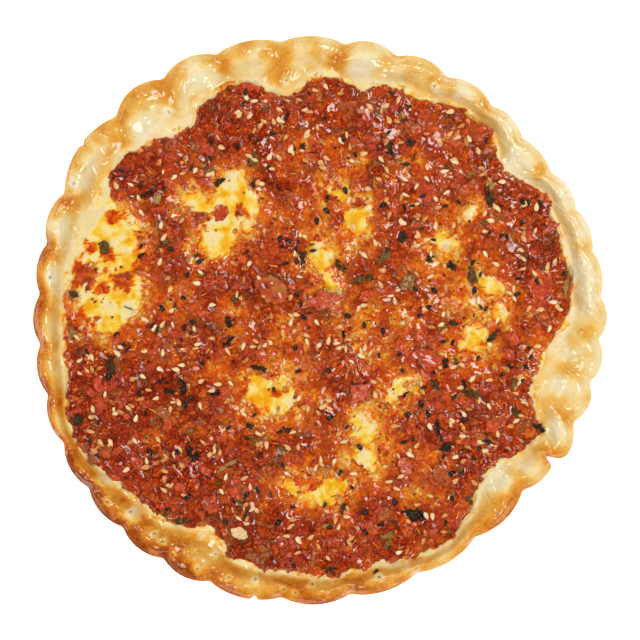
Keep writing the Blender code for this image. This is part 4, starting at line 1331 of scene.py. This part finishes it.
# Each node: its slot, its size in millimetres, its turn in degrees, and what it is made of.
LARGE_PIECES = {
    "tomato_piece": ("red_vegetable", (9.0, 7.5, 3.0), 30, "skin"),
    "tomato_chip": ("red_vegetable", (6.5, 5.0, 2.4), 110, "skin"),
    "pepper_piece": ("red_vegetable", (15.0, 7.0, 2.6), 15, "skin"),
    "onion_piece": ("onion", (12.0, 9.5, 2.4), 140, "onion"),
    "olive_piece": ("olive", (7.5, 6.0, 2.6), 60, "olive"),
    "walnut_piece": ("walnut", (6.5, 4.0, 2.6), 165, "walnut"),
}
# Shares of those sizes for the ragged pieces, whose uneven tops stand up past their thickness.
FLATTENED = (1.0, 1.0, 0.65)


def make_large_pieces():
    """The large pieces over their solids, with torn outlines and wet uneven faces."""
    rng = np.random.default_rng(77)
    materials = {
        "skin": roasted_red_skin(),
        "onion": softened_onion(),
        "olive": food_bits("cooked_olive_flesh", (
            (0.0, "#4E2E12"), (0.4, "#805020"), (0.7, "#946430"), (1.0, "#A88A48"),
        ), fleck_size=1.4 * MM, relief=0.15 * MM, roughness=0.3, coat=0.7),
        "walnut": food_bits("toasted_walnut_kernel", (
            (0.0, "#8A5424"), (0.35, "#C89860"), (0.6, "#E2C496"), (1.0, "#F0DEBC"),
        ), fleck_size=1.2 * MM, relief=0.2 * MM, roughness=0.4, coat=0.5),
    }
    made = []
    for node, (slot, size, turned, stuff) in LARGE_PIECES.items():
        low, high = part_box(node)
        middle = np.array((low + high) / 2.0)
        shape = shard_shapes(1, 5, rng)
        rotation = turns(np.array([math.radians(turned)]), np.zeros(1), np.zeros(1))
        size = np.array(size) * MM * FLATTENED
        piece = scattered(node + "_cooked", shape, [middle], [size], rotation,
                          {"tint": np.array([0.5])}, materials[stuff])
        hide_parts(node)
        made.append(piece)
    return made


# ---------------------------------------------------------------- studio

# The camera sees this width at the bread's widest height.
FRAME_WIDTH = 229.1 * MM
CAMERA_HEIGHT = 0.9
SENSOR = 36.0
TABLE_WIDTH = 4.0
TABLE_BELOW = 0.05 * MM
TABLE_GLOW = 0.75
ROOM_GLOW = 0.04
# Each soft light: its place and its width in metres, and its power in watts.
SOFTBOXES = {
    "key_softbox": ((0.33, 0.3, 0.76), 0.34, 4.9),
    "fill_softbox": ((-0.52, -0.34, 0.6), 0.36, 4.2),
    "front_softbox": ((0.5, -0.52, 0.5), 0.26, 2.6),
    "back_softbox": ((-0.32, 0.68, 0.5), 0.26, 1.9),
}


def make_studio():
    """A white table, a large soft light from the far right, another from the near left, two
    small low ones from the near right and from behind, and the camera straight above."""
    bpy.ops.mesh.primitive_plane_add(size=TABLE_WIDTH, location=(0.0, 0.0, -TABLE_BELOW))
    floor = bpy.context.object
    floor.name = "white_table"
    laminate = new_material(
        "white_table_laminate", Base_Color=linear("#FAFAFA"), Roughness=0.9,
        Emission_Color=linear("#FFFFFF"), Emission_Strength=TABLE_GLOW,
    )[0]
    floor.data.materials.append(laminate)
    for name, (place, size, power) in SOFTBOXES.items():
        light = bpy.data.lights.new(name, "AREA")
        light.shape = "SQUARE"
        light.size = size
        light.energy = power
        lamp = bpy.data.objects.new(name, light)
        bpy.context.scene.collection.objects.link(lamp)
        lamp.location = place
        lamp.rotation_euler = (-Vector(place)).to_track_quat("-Z", "Y").to_euler()
    world = bpy.data.worlds.new("pale_room")
    bpy.context.scene.world = world
    world.use_nodes = True
    backdrop = world.node_tree.nodes["Background"]
    backdrop.inputs["Color"].default_value = linear("#FFFFFF")
    backdrop.inputs["Strength"].default_value = ROOM_GLOW

    camera = bpy.data.cameras.new("camera")
    camera.sensor_width = SENSOR
    camera.lens = SENSOR * (CAMERA_HEIGHT - WIDEST_HEIGHT) / FRAME_WIDTH
    mount = bpy.data.objects.new("camera", camera)
    mount.location = (0.0, 0.0, CAMERA_HEIGHT)
    bpy.context.scene.collection.objects.link(mount)
    bpy.context.scene.camera = mount
    bpy.context.scene.view_settings.view_transform = "Standard"


def main():
    paste = red_pepper_paste()
    pieces = [make_bread(), make_cheese(), make_spread(paste)]
    pieces += make_small_things(paste)
    pieces += make_large_pieces()
    for piece in pieces:
        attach(piece, "root")
    make_studio()


main()
